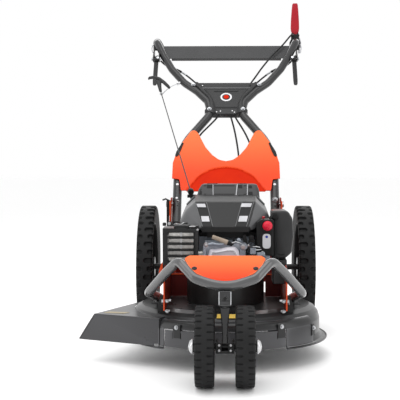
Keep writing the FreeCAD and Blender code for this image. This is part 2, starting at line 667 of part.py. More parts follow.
filter_base = join([box(84, 131, -600, -524, 312, 396), box(84, 131, -600, -587, 296, 313)])
long_edges = [e for e in filter_base.Edges if abs(e.tangentAt(e.FirstParameter).y) > 0.9]
filter_base = filter_base.makeFillet(5, long_edges)
filter_base = biggest(filter_base.cut(hood(0))).cut(rod((114, -601, 379), (114, -588, 379), 14))
primer_ring = ring((114, -600, 379), (114, -605, 379), 17.5, 13.8)
save("air_filter_base", group([filter_base, primer_ring]))
filter_cover = box(131, 188, -562, -440, 283, 418)
filter_cover = filter_cover.makeFillet(18, [e for e in filter_cover.Edges if e.BoundBox.XMin > 187])
filter_cover = filter_cover.cut(box(131, 184, -552, -450, 300, 400))
save("air_filter_cover", filter_cover)
primer = rod((114, -598, 379), (114, -606, 379), 13.4).fuse(Part.makeSphere(13, vec(114, -604, 379)))
primer = primer.common(rod((114, -597, 379), (114, -630, 379), 13.4))
save("primer_bulb", primer)
carb = [box(84, 122, -582, -520, 268, 308), rod((103, -560, 250), (103, -560, 270), 15),
        rod((96, -585, 296), (96, -520, 296), 8), rod((84, -545, 290), (56, -560, 290), 9)]
carb = join(carb).cut(box(0, 56.2, -640, -500, 240, 340))
save("carburettor", carb)
tank = box(-96, 96, -274, -196, 292, 392)
tank = tank.makeFillet(16, [e for e in tank.Edges if abs(e.tangentAt(e.FirstParameter).z) > 0.9])
save("fuel_tank", join([tank, rod((52, -235, 392), (52, -235, 402), 20)]))
save("fuel_cap", join([ring((52, -235, 396), (52, -235, 418), 27, 20.3), rod((52, -235, 404), (52, -235, 418), 27)]))
save("oil_dipstick", join([rod((-148, -370, 350.3), (-148, -370, 362), 13), box(-161, -135, -373, -367, 361, 372),
                           rod((-148, -370, 302), (-148, -370, 351), 3)]))


# ---------------------------------------------------------------- handle
PIVOT_BOLT_R = 6.0
GRIP_START = 600.0
GRIP_END = 745.0
GRIP_R = 16.5
LOWER_PATH = [(163, 388), (166, 480), (174, 562), (148, 622), (67, 718), (60, 738)]
UPPER_PATH = [(60, 746), (68, 774), (108, 813), (156, 846), (206, 902), (238, 954), (GRIP_X, GRIP_Z)]
LEVER_Y = 509.0
LEVER_Z = 945.0
LEVER_BOLT_R = 4.0
BLADE_LEVER_Y = 640.0
BLADE_LEVER_Z = 1050.0
ROPE_START = (-102.0, -396.0, 466.0)
ROPE_END = (-241.0, 360.0, 810.0)


def tube_points(path, sign):
    return [handle_point(sign * x, z) for x, z in path]


def lower_tube(sign):
    tube = pipe(tube_points(LOWER_PATH, sign), LOWER_TUBE_R, [300, 70, 90, 40], LOWER_TUBE_R - 2)
    cross = rod((sign * 140, PIVOT_Y, PIVOT_Z), (sign * 190, PIVOT_Y, PIVOT_Z), PIVOT_BOLT_R + RUN)
    return tube.cut(cross)


def upper_tube(sign, bore):
    points = tube_points(UPPER_PATH, sign) + [(sign * GRIP_X, GRIP_END - 3, GRIP_Z)]
    return pipe(points, UPPER_TUBE_R, [30, 60, 90, 120, 90, 42], bore)


def grip(sign):
    start, end = (sign * GRIP_X, GRIP_START, GRIP_Z), (sign * GRIP_X, GRIP_END, GRIP_Z)
    sleeve = rod(start, end, GRIP_R)
    bead = rod(start, (start[0], GRIP_START + 5, start[2]), GRIP_R + 2)
    return join([sleeve, bead]).cut(upper_solid[sign])


upper_solid = {sign: upper_tube(sign, 0.0) for sign, _ in SIDES}
lower_solid = {sign: pipe(tube_points(LOWER_PATH, sign), LOWER_TUBE_R, [300, 70, 90, 40]) for sign, _ in SIDES}


def centre_cover():
    """Moulded panel that ties the lower and upper tubes together, with clamp ears round their ends."""
    right = [(40, 711), (62, 713), (78, 719), (80, 728), (68, 739), (62, 748), (62, 766), (68, 781), (95, 806),
             (120, 829), (116, 840)]
    panel = handle_sheet(both_sides(right), 17, -17)
    for low in ([(40, 747), (44, 762), (56, 785), (78, 813)], [(36, 700), (36, 741)]):
        panel = panel.cut(handle_sheet(both_sides(low), 25, 8))
    panel = panel.cut(handle_sheet(both_sides([(130, 817), (130, 860)]), 25, 11))
    pocket = [(34, 716), (50, 722), (48, 768), (58, 786), (86, 811), (106, 833)]
    panel = panel.cut(handle_sheet(both_sides(pocket), 5, -25))
    slot = handle_sheet(both_sides([(45, 805), (45, 808)]), 25, 0)
    solid = panel.cut(slot).cut(cables)
    for sign, _ in SIDES:
        solid = solid.cut(upper_solid[sign]).cut(lower_solid[sign])
    return biggest(solid)


def fairing():
    """Moulded shield over the lower tubes: pointed top corners, an arched lower edge and two long slots."""
    top = [(0, 542), (24, 547), (47, 563), (71, 590), (88, 621), (99, 643), (112, 653)]
    right = [(125, 650), (157, 605), (176, 567), (184, 535), (184, 484), (158, 480), (152, 443)]
    sheet = handle_sheet(top + right + [(-x, z) for x, z in reversed(top[1:] + right)], 20, 16)
    for sign, _ in SIDES:
        slot = [(sign * 168, 563), (sign * 176, 569), (sign * 158, 599), (sign * 150, 593)]
        sheet = sheet.cut(handle_sheet(slot, 30, 10))
    return sheet


def crossbar_panel():
    """Sheet between the upper tubes with its lower edge folded back."""
    sheet = handle_sheet([(-252, 1002), (252, 1002), (228, 950), (-228, 950)], -2, -4.5)
    fold = handle_sheet([(-210, 950), (210, 950), (210, 952.5), (-210, 952.5)], -2, -15)
    panel = join([sheet, fold])
    for sign, _ in SIDES:
        panel = panel.cut(upper_solid[sign])
    return biggest(panel)


def hand_lever(sign):
    """Flat lever: front blade hanging from its pivot, and a bar reaching back under the grip."""
    x = sign * 268
    front = prism([(x - 8, LEVER_Y - 4, LEVER_Z + 8), (x + 8, LEVER_Y - 4, LEVER_Z + 8),
                   (x + 8, 416, 842), (x - 8, 416, 842)], (0, 5, -3.5))
    eye = rod((x - 8, LEVER_Y, LEVER_Z), (x + 8, LEVER_Y, LEVER_Z), 11)
    rear = pipe([(x, LEVER_Y, LEVER_Z), (x, 572, 962), (x, 700, 965)], 5, 40)
    solid = join([front, eye, rear])
    return solid.cut(rod((x - 30, LEVER_Y, LEVER_Z), (x + 30, LEVER_Y, LEVER_Z), LEVER_BOLT_R + RUN))


def handle_brackets():
    """Lever brackets and their bolts, the blade lever's clamp, and the wire guide for the starter rope."""
    pieces = []
    for sign, _ in SIDES:
        near, far = sign * 255.5, sign * 259.6
        low, high = sorted((near, far))
        cheek = prism([(low, LEVER_Y - 10, LEVER_Z - 10), (low, LEVER_Y + 10, LEVER_Z - 10),
                       (low, 560, 975), (low, 556, 992), (low, LEVER_Y - 10, LEVER_Z + 8)], (high - low, 0, 0))
        low, high = sorted((sign * 246, far))
        arm = box(low, high, 520, 545, 962, 972)
        bolt = rod((near, LEVER_Y, LEVER_Z), (sign * 280, LEVER_Y, LEVER_Z), LEVER_BOLT_R)
        head = rod((sign * 276.6, LEVER_Y, LEVER_Z), (sign * 282, LEVER_Y, LEVER_Z), 7)
        pieces.append(join([cheek, arm, bolt, head]).cut(upper_solid[sign]))
    clamp = rod((GRIP_X, 626, GRIP_Z), (GRIP_X, 654, GRIP_Z), 21)
    low_x, high_x = GRIP_X - 14, GRIP_X + 14
    cheeks = [box(low_x, low_x + 4, 628, 652, GRIP_Z + 14, BLADE_LEVER_Z + 10),
              box(high_x - 4, high_x, 628, 652, GRIP_Z + 14, BLADE_LEVER_Z + 10),
              rod((low_x - 3, BLADE_LEVER_Y, BLADE_LEVER_Z), (high_x + 3, BLADE_LEVER_Y, BLADE_LEVER_Z), 4)]
    clamp = join([clamp] + cheeks)
    pieces.append(clamp.cut(rod((GRIP_X, 600, GRIP_Z), (GRIP_X, 700, GRIP_Z), GRIP_R)))
    along = vec(*ROPE_END) - vec(*ROPE_START)
    eye_centre = vec(*ROPE_END) - along.normalize() * 22
    eye = Part.makeTorus(10, 2.2, eye_centre, along)
    arm_end = (eye_centre.x + 9.5, eye_centre.y - 1, eye_centre.z + 3)
    arm = pipe([(-156, 418, 846), (-186, 400, 836), arm_end], 2.2, 30)
    pieces.append(join([eye, arm]).cut(upper_solid[-1]))
    return group(pieces)


def blade_lever():
    """Tapered red lever standing up from its pivot."""
    x = GRIP_X
    y = BLADE_LEVER_Y
    solid = loft([
        [(x - 17.5, y - 6, 1070), (x + 17.5, y - 6, 1070), (x + 17.5, y + 6, 1070), (x - 17.5, y + 6, 1070)],
        [(x - 10.5, y - 5, 1176), (x + 10.5, y - 5, 1176), (x + 10.5, y + 5, 1176), (x - 10.5, y + 5, 1176)],
    ])
    neck = box(x - 9, x + 9, y - 5, y + 5, BLADE_LEVER_Z - 8, 1071)
    eye = rod((x - 9, y, BLADE_LEVER_Z), (x + 9, y, BLADE_LEVER_Z), 9)
    return join([solid, neck, eye]).cut(rod((x - 20, y, BLADE_LEVER_Z), (x + 20, y, BLADE_LEVER_Z), 4 + RUN))


def starter_grip():
    """Curved T-grip with its stem."""
    bar = pipe([(-288, 392, 862), (-264, 390, 862), (-236, 382, 848), (-210, 370, 824)], 8, [40, 40])
    stem = loft([
        [(-262, 376, 852), (-240, 376, 852), (-240, 394, 852), (-262, 394, 852)],
        [(-247, 354, 813), (-236, 354, 813), (-236, 366, 813), (-247, 366, 813)],
    ])
    return join([bar, stem])


save("lower_tubes", group([lower_tube(sign) for sign, _ in SIDES]))
save("upper_tubes", group([upper_tube(sign, UPPER_TUBE_R - 2) for sign, _ in SIDES]))
save("grips", group([grip(sign) for sign, _ in SIDES]))
save("centre_cover", centre_cover())
save("fairing", fairing())
save("crossbar_panel", crossbar_panel())
for sign, side in SIDES:
    save("hand_lever_" + side, hand_lever(sign))
save("handle_brackets", handle_brackets())
save("blade_lever", blade_lever())
save("starter_grip", starter_grip())
save("starter_rope", rod(ROPE_START, ROPE_END, ROPE_R))

save("control_cables", group(cables))

lock = join([rod((-184.4, PIVOT_Y, PIVOT_Z), (-200, PIVOT_Y, PIVOT_Z), 10),
             box(-199, -191, PIVOT_Y - 7, PIVOT_Y + 7, PIVOT_Z - 62, PIVOT_Z)])
save("lock_lever", lock)

whole = group(list(nodes.values())).BoundBox
print("nodes", len(nodes), "box x", round(whole.XMin), round(whole.XMax), "y", round(whole.YMin), round(whole.YMax),
      "z", round(whole.ZMin, 2), round(whole.ZMax))
for name, shape in nodes.items():
    if not shape.isValid() or min(s.Volume for s in shape.Solids) <= 0:
        print("check", name, shape.isValid())
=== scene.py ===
"""Brush mower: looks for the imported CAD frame.

Machine coordinates in this script are millimetres with X across, Y back from the rear axle and Z up from
the ground; place() turns them into the frame's metres.
"""
import math
import bmesh
import bpy
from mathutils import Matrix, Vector


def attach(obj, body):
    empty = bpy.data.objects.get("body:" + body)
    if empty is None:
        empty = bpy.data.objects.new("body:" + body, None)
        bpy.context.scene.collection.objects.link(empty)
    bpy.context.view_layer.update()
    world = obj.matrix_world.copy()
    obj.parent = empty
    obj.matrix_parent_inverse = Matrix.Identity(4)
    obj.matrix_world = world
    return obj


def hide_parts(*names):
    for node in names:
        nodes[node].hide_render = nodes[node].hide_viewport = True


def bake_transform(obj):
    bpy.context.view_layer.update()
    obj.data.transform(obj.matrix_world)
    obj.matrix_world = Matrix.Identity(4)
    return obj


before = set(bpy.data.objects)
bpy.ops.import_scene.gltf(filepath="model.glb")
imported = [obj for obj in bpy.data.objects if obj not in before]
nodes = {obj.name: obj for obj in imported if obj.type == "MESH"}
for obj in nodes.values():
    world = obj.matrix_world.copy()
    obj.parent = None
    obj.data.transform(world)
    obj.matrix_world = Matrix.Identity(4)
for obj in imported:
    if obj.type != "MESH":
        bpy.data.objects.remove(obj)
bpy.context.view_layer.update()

# ---------------------------------------------------------------- driving dimensions, millimetres
MIDDLE = Vector((-57.0, -111.0, 0.0))
REAR_R, REAR_IN, REAR_OUT, REAR_RIM = 203.0, 231.0, 282.0, 148.0
FRONT_R, FRONT_IN, FRONT_OUT, FRONT_RIM = 100.0, 26.0, 73.0, 62.0
WHEELBASE = 867.0
CASTER_Y = -880.0
DECK_Y, SKIRT_IN, SKIRT_OUT = -432.0, 286.2, 290.0
SLOPE = 0.9
GRIP_X, GRIP_Z, GRIP_START, GRIP_LONG, GRIP_R = 270.0, 1018.0, 600.0, 145.0, 16.5
PIVOT, CLAMP_Y = (509, 945), 640
COVER_FRONT, COVER_BACK, SLOPE_RUN = -600.0, -290.0, 80.0
LOWER_TUBE_R, COVER_LOW, COVER_HIGH, BADGE_Z = 15.0, 720.0, 840.0, 784
SIDES = ((-1, "left"), (1, "right"))


def place(x, y, z):
    """Machine millimetres to the frame's metres."""
    return Vector((x - MIDDLE.x, y - MIDDLE.y, z - MIDDLE.z)) / 1000.0


def handle(x, z, off=0.0):
    """Machine point on the handle's slanted plane; off is how far it stands in front of the plane."""
    tilt = math.hypot(1.0, SLOPE)
    return (x, 20.0 + SLOPE * (z - 400.0) - off / tilt, z + off * SLOPE / tilt)


def span(sign, near, far):
    """A pair of distances from the middle as rising x on one side."""
    return sorted((sign * near, sign * far))


HANDLE_OUT = Vector(handle(0, 0, 1.0)) - Vector(handle(0, 0, 0))


# ---------------------------------------------------------------- camera, light, floor
def camera():
    """Long lens a little above the middle of the machine, looking at its front."""
    data = bpy.data.cameras.new("camera")
    data.lens = 87.9
    data.sensor_width = 36.0
    data.clip_end = 50.0
    seen = bpy.data.objects.new("camera", data)
    seen.location = place(7.1, -3247.0, 553.1)
    seen.rotation_euler = (math.pi / 2 - 0.0394, 0.0, 0.0287)
    bpy.context.scene.collection.objects.link(seen)
    bpy.context.scene.camera = seen


def area_light(name, at, size, power, target=(-57, -300, 450)):
    """Rectangular light, width and height in metres, aimed at a machine point."""
    data = bpy.data.lights.new(name, "AREA")
    data.shape = "RECTANGLE"
    data.size, data.size_y = size
    data.energy = power
    lamp = bpy.data.objects.new(name, data)
    lamp.location = place(*at)
    lamp.rotation_euler = (place(*target) - lamp.location).to_track_quat("-Z", "Y").to_euler()
    bpy.context.scene.collection.objects.link(lamp)


def studio():
    """White surroundings with one large light above, two beside and one behind."""
    world = bpy.data.worlds.new("studio")
    world.use_nodes = True
    background = world.node_tree.nodes["Background"]
    background.inputs["Color"].default_value = (1, 1, 1, 1)
    background.inputs["Strength"].default_value = 1.0
    bpy.context.scene.world = world
    bpy.context.scene.view_settings.view_transform = "Standard"
    area_light("key_top", (-300, -900, 3300), (2.6, 2.6), 42)
    area_light("side_left", (-2600, -1500, 1500), (1.2, 2.6), 16)
    area_light("side_right", (2600, -1300, 1500), (1.0, 2.6), 13)
    area_light("back_rim", (0, 2600, 2300), (3.0, 1.2), 22)


def floor():
    """Wide pale ground just under the wheels."""
    bpy.ops.mesh.primitive_plane_add(size=60, location=(0, 0, -0.0005))
    ground = bpy.context.object
    ground.name = "floor"
    mat = bpy.data.materials.new("floor")
    mat.use_nodes = True
    shader = mat.node_tree.nodes["Principled BSDF"]
    shader.inputs["Base Color"].default_value = (0.985, 0.985, 0.985, 1)
    shader.inputs["Roughness"].default_value = 0.6
    shader.inputs["Specular IOR Level"].default_value = 0.2
    ground.data.materials.append(mat)


camera()
studio()
floor()


# ---------------------------------------------------------------- materials
def material(name, dark, light, rough, metal=0.0, grain=0.0, grain_size=900.0, blotch=14.0, coat=0.0,
             rough_spread=0.08, edge_wear_and_highlight=None, gloss=0.28, rise=None, top=None):
    """Surface whose colour and gloss drift over a blotchy field, with a fine grain and lighter sharp edges that are
    partly real wear and partly painted edge highlight.

    dark and light are the ends of its colour, grain the bump's strength, grain_size its cells in a metre.
    rise is a pair of heights between which the colour turns into top, painted light on the upper part. gloss is its
    reflection level.
    """
    mat = bpy.data.materials.new(name)
    mat.use_nodes = True
    tree = mat.node_tree
    shader = tree.nodes["Principled BSDF"]
    link = tree.links.new

    def node(kind, **values):
        made = tree.nodes.new("ShaderNode" + kind)
        for key, value in values.items():
            made.inputs[key.replace("_", " ")].default_value = value
        return made

    def noise(**values):
        made = node("TexNoise", **values)
        link(coords.outputs["Object"], made.inputs["Vector"])
        return made.outputs["Fac"]

    def blended(share, second):
        mix = node("MixRGB", Color2=(*second, 1))
        link(share, mix.inputs["Fac"])
        link(colour, mix.inputs["Color1"])
        return mix.outputs["Color"]

    coords = node("TexCoord")
    field = noise(Scale=blotch, Detail=5.0, Roughness=0.6)
    ramp = node("ValToRGB")
    for end, at, tone in zip(ramp.color_ramp.elements, (0.3, 0.72), (dark, light)):
        end.position, end.color = at, (*tone, 1)
    link(field, ramp.inputs["Fac"])
    colour = ramp.outputs["Color"]
    # painted light: above the rise heights the colour turns into the lighter top colour
    if rise:
        parted = node("SeparateXYZ")
        link(coords.outputs["Object"], parted.inputs["Vector"])
        height = node("MapRange", From_Min=rise[0], From_Max=rise[1])
        height.interpolation_type = "SMOOTHSTEP"
        link(parted.outputs["Z"], height.inputs["Value"])
        colour = blended(height.outputs["Result"], top)
    # lighter colour on sharp edges: painted edge highlight, real wear only on the blade
    if edge_wear_and_highlight:
        sharp = node("MapRange", From_Min=0.53, From_Max=0.64)
        link(node("NewGeometry").outputs["Pointiness"], sharp.inputs["Value"])
        colour = blended(sharp.outputs["Result"], edge_wear_and_highlight)
    link(colour, shader.inputs["Base Color"])
    polish = node("MapRange", To_Min=max(0.02, rough - rough_spread), To_Max=min(1.0, rough + rough_spread))
    link(field, polish.inputs["Value"])
    link(polish.outputs["Result"], shader.inputs["Roughness"])
    shader.inputs["Metallic"].default_value = metal
    shader.inputs["Specular IOR Level"].default_value = 0.5 if metal > 0.5 else gloss
    shader.inputs["Coat Weight"].default_value = coat
    shader.inputs["Coat Roughness"].default_value = 0.12
    if grain:
        bump = node("Bump", Strength=grain, Distance=0.0006)
        link(noise(Scale=grain_size, Detail=3.0), bump.inputs["Height"])
        link(bump.outputs["Normal"], shader.inputs["Normal"])
    return mat


def greys(low, high):
    """A dark and a light neutral grey with a touch of blue."""
    return tuple((g, g * 1.01, g * 1.04) for g in (low, high))


PAINT = {
    # lighter sharp edges of the deck paint: painted edge highlight
    "deck": material("deck_paint", *greys(0.013, 0.018), 0.30, grain=0.10, grain_size=520, coat=0.10,
                     edge_wear_and_highlight=(0.08, 0.08, 0.085)),
    "tube_dark": material("dark_tube_paint", *greys(0.018, 0.024), 0.28, grain=0.06, grain_size=700, coat=0.25),
    "tube_grey": material("grey_tube_paint", *greys(0.055, 0.070), 0.20, grain=0.04, grain_size=500, coat=0.9),
    "panel": material("panel_paint", *greys(0.036, 0.045), 0.40, grain=0.08, grain_size=700),
    # chassis red darkened to the shade of the plates' inner faces: painted shade; its lighter sharp edges are painted
    # highlight
    "chassis": material("chassis_paint", (0.115, 0.006, 0.003), (0.16, 0.008, 0.004), 0.42, grain=0.08,
                        grain_size=450, edge_wear_and_highlight=(0.34, 0.03, 0.01)),
    # bright orange-red of the chassis edges: painted highlight, the lit copy of the chassis paint
    "bright": material("chassis_edge_highlight_paint", (0.62, 0.060, 0.008), (0.72, 0.080, 0.012), 0.40, grain=0.06),
    # darker red of the cross panels: painted shade on the chassis paint
    "shaded_red": material("shaded_red_paint", (0.13, 0.005, 0.003), (0.17, 0.007, 0.004), 0.45, grain=0.08,
                         grain_size=450),
    # lighter sharp edges of the black paint: painted edge highlight
    "black": material("black_paint", *greys(0.005, 0.009), 0.38, grain=0.12, grain_size=600,
                      edge_wear_and_highlight=(0.03, 0.03, 0.03)),
    "rim": material("rim_paint", *greys(0.010, 0.016), 0.34, grain=0.06, grain_size=400),
}
PLASTIC = {
    # lighter orange towards the top: painted light from above
    "orange": material("orange_plastic", (0.70, 0.036, 0.001), (0.78, 0.046, 0.0015), 0.36, grain=0.10,
                       grain_size=1500, rough_spread=0.05, gloss=0.18, rise=(0.47, 0.68), top=(0.84, 0.150, 0.038)),
    # deeper orange: painted shade in the fairing's recessed arch, and the badge centre's own colour
    "deep_orange_and_shade": material("arch_shade_and_badge_orange_plastic", (0.52, 0.014, 0.0005), (0.58, 0.020, 0.0005), 0.46, grain=0.10,
                            grain_size=1500, gloss=0.05, rough_spread=0.05),
    # lighter orange towards the top edge: painted light
    "shield": material("shield_plastic", (0.82, 0.040, 0.001), (0.86, 0.050, 0.001), 0.30, grain=0.10,
                       grain_size=1500, rough_spread=0.05, gloss=0.15, rise=(0.262, 0.318), top=(0.86, 0.150, 0.032)),
    # lighter orange of the shield's edge lines: painted highlight
    "edge_highlight_orange": material("shield_edge_highlight_plastic", (0.84, 0.17, 0.05), (0.90, 0.21, 0.07), 0.30),
    "cover": material("cover_plastic", *greys(0.0065, 0.010), 0.42, grain=0.22, grain_size=1600,
                      rough_spread=0.05),
    "cover_side": material("cover_side_plastic", *greys(0.085, 0.115), 0.34, grain=0.18, grain_size=1600,
                           rough_spread=0.05),
    "dark": material("dark_plastic", *greys(0.019, 0.025), 0.38, grain=0.2, grain_size=1500),
    "black": material("black_plastic", *greys(0.004, 0.008), 0.44, grain=0.22, grain_size=1400, gloss=0.2),
    "red": material("red_plastic", (0.29, 0.004, 0.012), (0.35, 0.007, 0.016), 0.34, grain=0.08, grain_size=1200),
}
METAL = {
    "zinc": material("zinc_plate", (0.34, 0.35, 0.36), (0.58, 0.59, 0.61), 0.30, metal=1.0, grain=0.08,
                     grain_size=900, blotch=60),
    "steel": material("machined_steel", (0.36, 0.36, 0.37), (0.5, 0.5, 0.5), 0.34, metal=1.0, grain=0.08),
    "blade": material("blade_steel", (0.18, 0.18, 0.19), (0.30, 0.30, 0.31), 0.42, metal=1.0, grain=0.15,
                      edge_wear_and_highlight=(0.65, 0.65, 0.66)),
    "alloy": material("cast_alloy", (0.20, 0.22, 0.25), (0.34, 0.37, 0.42), 0.46, metal=0.8, grain=0.45,
                      grain_size=700, blotch=40),
    "muffler": material("muffler_steel", (0.22, 0.215, 0.205), (0.56, 0.55, 0.53), 0.36, metal=0.9, grain=0.1,
                        blotch=45),
    "cap": material("bright_cap", (0.52, 0.52, 0.53), (0.66, 0.66, 0.67), 0.18, metal=0.6, blotch=8,
                    rough_spread=0.03),
    "valve": material("valve_cover_paint", (0.40, 0.38, 0.42), (0.50, 0.48, 0.52), 0.40, metal=0.2, grain=0.08),
}
RUBBER = {
    # lighter lug edges of the tyres: painted highlight
    "tyre": material("tyre_rubber", *greys(0.008, 0.014), 0.62, grain=0.35, grain_size=900, blotch=22,
                     edge_wear_and_highlight=(0.035, 0.035, 0.035), gloss=0.2),
    "grip": material("grip_rubber", *greys(0.006, 0.011), 0.62, grain=0.4, grain_size=1800, gloss=0.2),
    "belt": material("belt_rubber", *greys(0.012, 0.020), 0.7, grain=0.3),
    "boot": material("boot_rubber", (0.27, 0.215, 0.165), (0.38, 0.315, 0.25), 0.55, grain=0.2),
    "primer": material("primer_rubber", (0.52, 0.006, 0.025), (0.62, 0.014, 0.042), 0.28, grain=0.03),
    "cable": material("cable_jacket", *greys(0.007, 0.012), 0.42, grain=0.08, grain_size=2500, gloss=0.2),
}
LABEL = {
    "white": material("blank_label", (0.70, 0.70, 0.71), (0.80, 0.80, 0.81), 0.35),
    "yellow": material("yellow_label", (0.62, 0.42, 0.08), (0.70, 0.50, 0.11), 0.4),
    # cream darkened for its grazing view: painted shade
    "cream": material("cream_label", (0.30, 0.24, 0.12), (0.38, 0.31, 0.17), 0.4),
    "silver": material("silver_label", (0.42, 0.42, 0.44), (0.56, 0.56, 0.58), 0.3),
    "blue": material("blue_mark", (0.02, 0.03, 0.20), (0.03, 0.05, 0.28), 0.4),
}

NODE_FINISH = (
    (PAINT["deck"], "deck_shell chute_deflector front_flap flap_hinge"),
    (PAINT["chassis"], "chassis_plates"),
    (PAINT["shaded_red"], "cross_members"),
    (PAINT["tube_grey"], "bumper_tube caster_stem"),
    (PLASTIC["shield"], "front_shield"),
    (PAINT["black"], "shield_screws engine_drum muffler_guard axle_shaft_left axle_shaft_right "
     "handle_brackets hand_lever_left hand_lever_right lock_lever"),
    (METAL["zinc"], "frame_bolts"),
    (PLASTIC["black"], "axle_bearings blower_housing air_filter_base fuel_tank front_rim_left "
     "front_rim_right fuel_cap oil_dipstick"),
    (METAL["alloy"], "engine_block cylinder_head carburettor gearbox flywheel"),
    (METAL["valve"], "valve_cover"),
    (RUBBER["boot"], "spark_plug_boot"),
    (PLASTIC["cover"], "blower_cover"),
    (METAL["muffler"], "muffler"),
    (PLASTIC["dark"], "air_filter_cover centre_cover starter_grip"),
    (RUBBER["belt"], "drive_belt"),
    (RUBBER["cable"], "starter_rope control_cables"),
    (METAL["cap"], "front_axle"),
    (RUBBER["tyre"], "front_tyre_left front_tyre_right rear_tyre_left rear_tyre_right"),
    (PAINT["rim"], "rear_rim_left rear_rim_right"),
    (METAL["steel"], "crankshaft blade_hub gearbox_pulley"),
    (METAL["blade"], "blade"),
    (RUBBER["primer"], "primer_bulb"),
    (PAINT["tube_dark"], "lower_tubes upper_tubes"),
    (RUBBER["grip"], "grips"),
    (PLASTIC["orange"], "fairing"),
    (PAINT["panel"], "crossbar_panel"),
    (PLASTIC["red"], "blade_lever"),
)
for node_finish, node_names in NODE_FINISH:
    for node_name in node_names.split():
        slots = nodes[node_name].data.materials
        slots.clear()
        slots.append(node_finish)


def finished(name, mesh, finishes, body, smooth_angle=38.0, replaced=(), bevel=0.0):
    """Scene object from a mesh: materials, shading, rounded edges and the CAD body it rides on.
    """
    finishes = finishes if isinstance(finishes, list) else [finishes]
    for finish in finishes:
        mesh.materials.append(finish)
    mesh.validate()
    mesh.polygons.foreach_set("use_smooth", [True] * len(mesh.polygons))
    mesh.set_sharp_from_angle(angle=math.radians(smooth_angle))
    obj = bpy.data.objects.new(name, mesh)
    bpy.context.scene.collection.objects.link(obj)
    if bevel:
        soften = obj.modifiers.new("edges", "BEVEL")
        soften.width = bevel / 1000.0
        soften.segments = 3
        soften.limit_method = "ANGLE"
        soften.angle_limit = math.radians(28.0)
        soften.harden_normals = True
    if body:
        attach(obj, body)
    if replaced:
        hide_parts(*replaced)
    return obj


def mesh_of(name, points, faces, parts=None):
    """Mesh from machine points; parts gives each face's material number."""
    mesh = bpy.data.meshes.new(name)
    mesh.from_pydata([place(*p) for p in points], [], faces)
    if parts:
        mesh.polygons.foreach_set("material_index", parts)
    tidy = bmesh.new()
    tidy.from_mesh(mesh)
    bmesh.ops.recalc_face_normals(tidy, faces=tidy.faces)
    tidy.to_mesh(mesh)
    tidy.free()
    return mesh


def skin(rings, closed=False):
    """Points and faces of a skin over rings of equally many points; closed joins the last ring to the first."""
    count = len(rings[0])
    points = [p for ring in rings for p in ring]
    faces = []
    pairs = list(zip(range(len(rings) - 1), range(1, len(rings))))
    if closed:
        pairs.append((len(rings) - 1, 0))
    for a, b in pairs:
        for k in range(count):
            n = (k + 1) % count
            faces.append((a * count + k, a * count + n, b * count + n, b * count + k))
    if not closed:
        faces.append(tuple(range(count - 1, -1, -1)))
        faces.append(tuple((len(rings) - 1) * count + k for k in range(count)))
    return points, faces


def merged(*shapes):
    """One list of points and faces from several."""
    points, faces = [], []
    for some_points, some_faces in shapes:
        start = len(points)
        points += list(some_points)
        faces += [tuple(start + k for k in face) for face in some_faces]
    return points, faces


def turned_frame(axis):
    """Two unit vectors square to an axis."""
    along = Vector(axis).normalized()
    first = along.cross(Vector((0, 0, 1)) if abs(along.z) < 0.9 else Vector((1, 0, 0))).normalized()
    return first, along.cross(first)


def circle(centre, axis, radius, count=24):
    """Points of a circle round an axis."""
    first, second = turned_frame(axis)
    middle = Vector(centre)
    ring = []
    for k in range(count):
        angle = math.tau * k / count
        ring.append(middle + radius * (math.cos(angle) * first + math.sin(angle) * second))
    return ring


def turning(base, axis, profile, count=24):
    """Solid of revolution: profile lists (radius, distance along the axis), first and last closed by caps."""
    along = Vector(axis).normalized()
    rings = [circle(Vector(base) + along * d, axis, r, count) for r, d in profile]
    return skin(rings)


def tube_along(line, radius, count=16):
    """Tube over a fine line of points, its rings carried along without twist."""
    pts = [Vector(p) for p in line]
    rings = []
    side = None
    for k, point in enumerate(pts):
        ahead = (pts[min(k + 1, len(pts) - 1)] - pts[max(k - 1, 0)]).normalized()
        if side is None:
            side, _ = turned_frame(ahead)
        side = (side - ahead * side.dot(ahead)).normalized()
        other = ahead.cross(side)
        ring = []
        for n in range(count):
            angle = math.tau * n / count
            ring.append(point + radius * (math.cos(angle) * side + math.sin(angle) * other))
        rings.append(ring)
    return skin(rings)


def spline_line(route, steps=10):
    """Fine points, in millimetres, of the smooth curve that a route's points steer."""
    data = bpy.data.curves.new("route", "CURVE")
    data.dimensions = "3D"
    data.resolution_u = steps
    spline = data.splines.new("NURBS")
    spline.points.add(len(route) - 1)
    for point, at in zip(spline.points, route):
        point.co = (*at, 1.0)
    spline.order_u = 3
    spline.use_endpoint_u = True
    guide = bpy.data.objects.new("route", data)
    bpy.context.scene.collection.objects.link(guide)
    bpy.context.view_layer.update()
    drawn = bpy.data.meshes.new_from_object(guide.evaluated_get(bpy.context.evaluated_depsgraph_get()))
    line = [v.co.copy() for v in drawn.vertices]
    bpy.data.objects.remove(guide)
    bpy.data.meshes.remove(drawn)
    return line


def rounded(points, radius, steps=6):
    """Closed outline with its corners turned into arcs; radius is one number or one for each corner."""
    made = []
    count = len(points)
    for k, point in enumerate(points):
        r = radius[k] if isinstance(radius, (list, tuple)) else radius
        here = Vector(point)
        back = Vector(points[k - 1]) - here
        ahead = Vector(points[(k + 1) % count]) - here
        half = back.angle(ahead) / 2.0
        if r <= 0:
            made.append(here)
            continue
        reach = min(max(r / math.tan(half), 0.4), 0.48 * back.length, 0.48 * ahead.length)
        start = here + back.normalized() * reach
        end = here + ahead.normalized() * reach
        for s in range(steps + 1):
            t = s / steps
            made.append((1 - t) ** 2 * start + 2 * t * (1 - t) * here + t ** 2 * end)
    return made


def level_ring(x0, x1, y0, y1, z, radius, steps=6):
    """Level rectangle with rounded corners."""
    return rounded([(x0, y0, z), (x1, y0, z), (x1, y1, z), (x0, y1, z)], radius, steps)


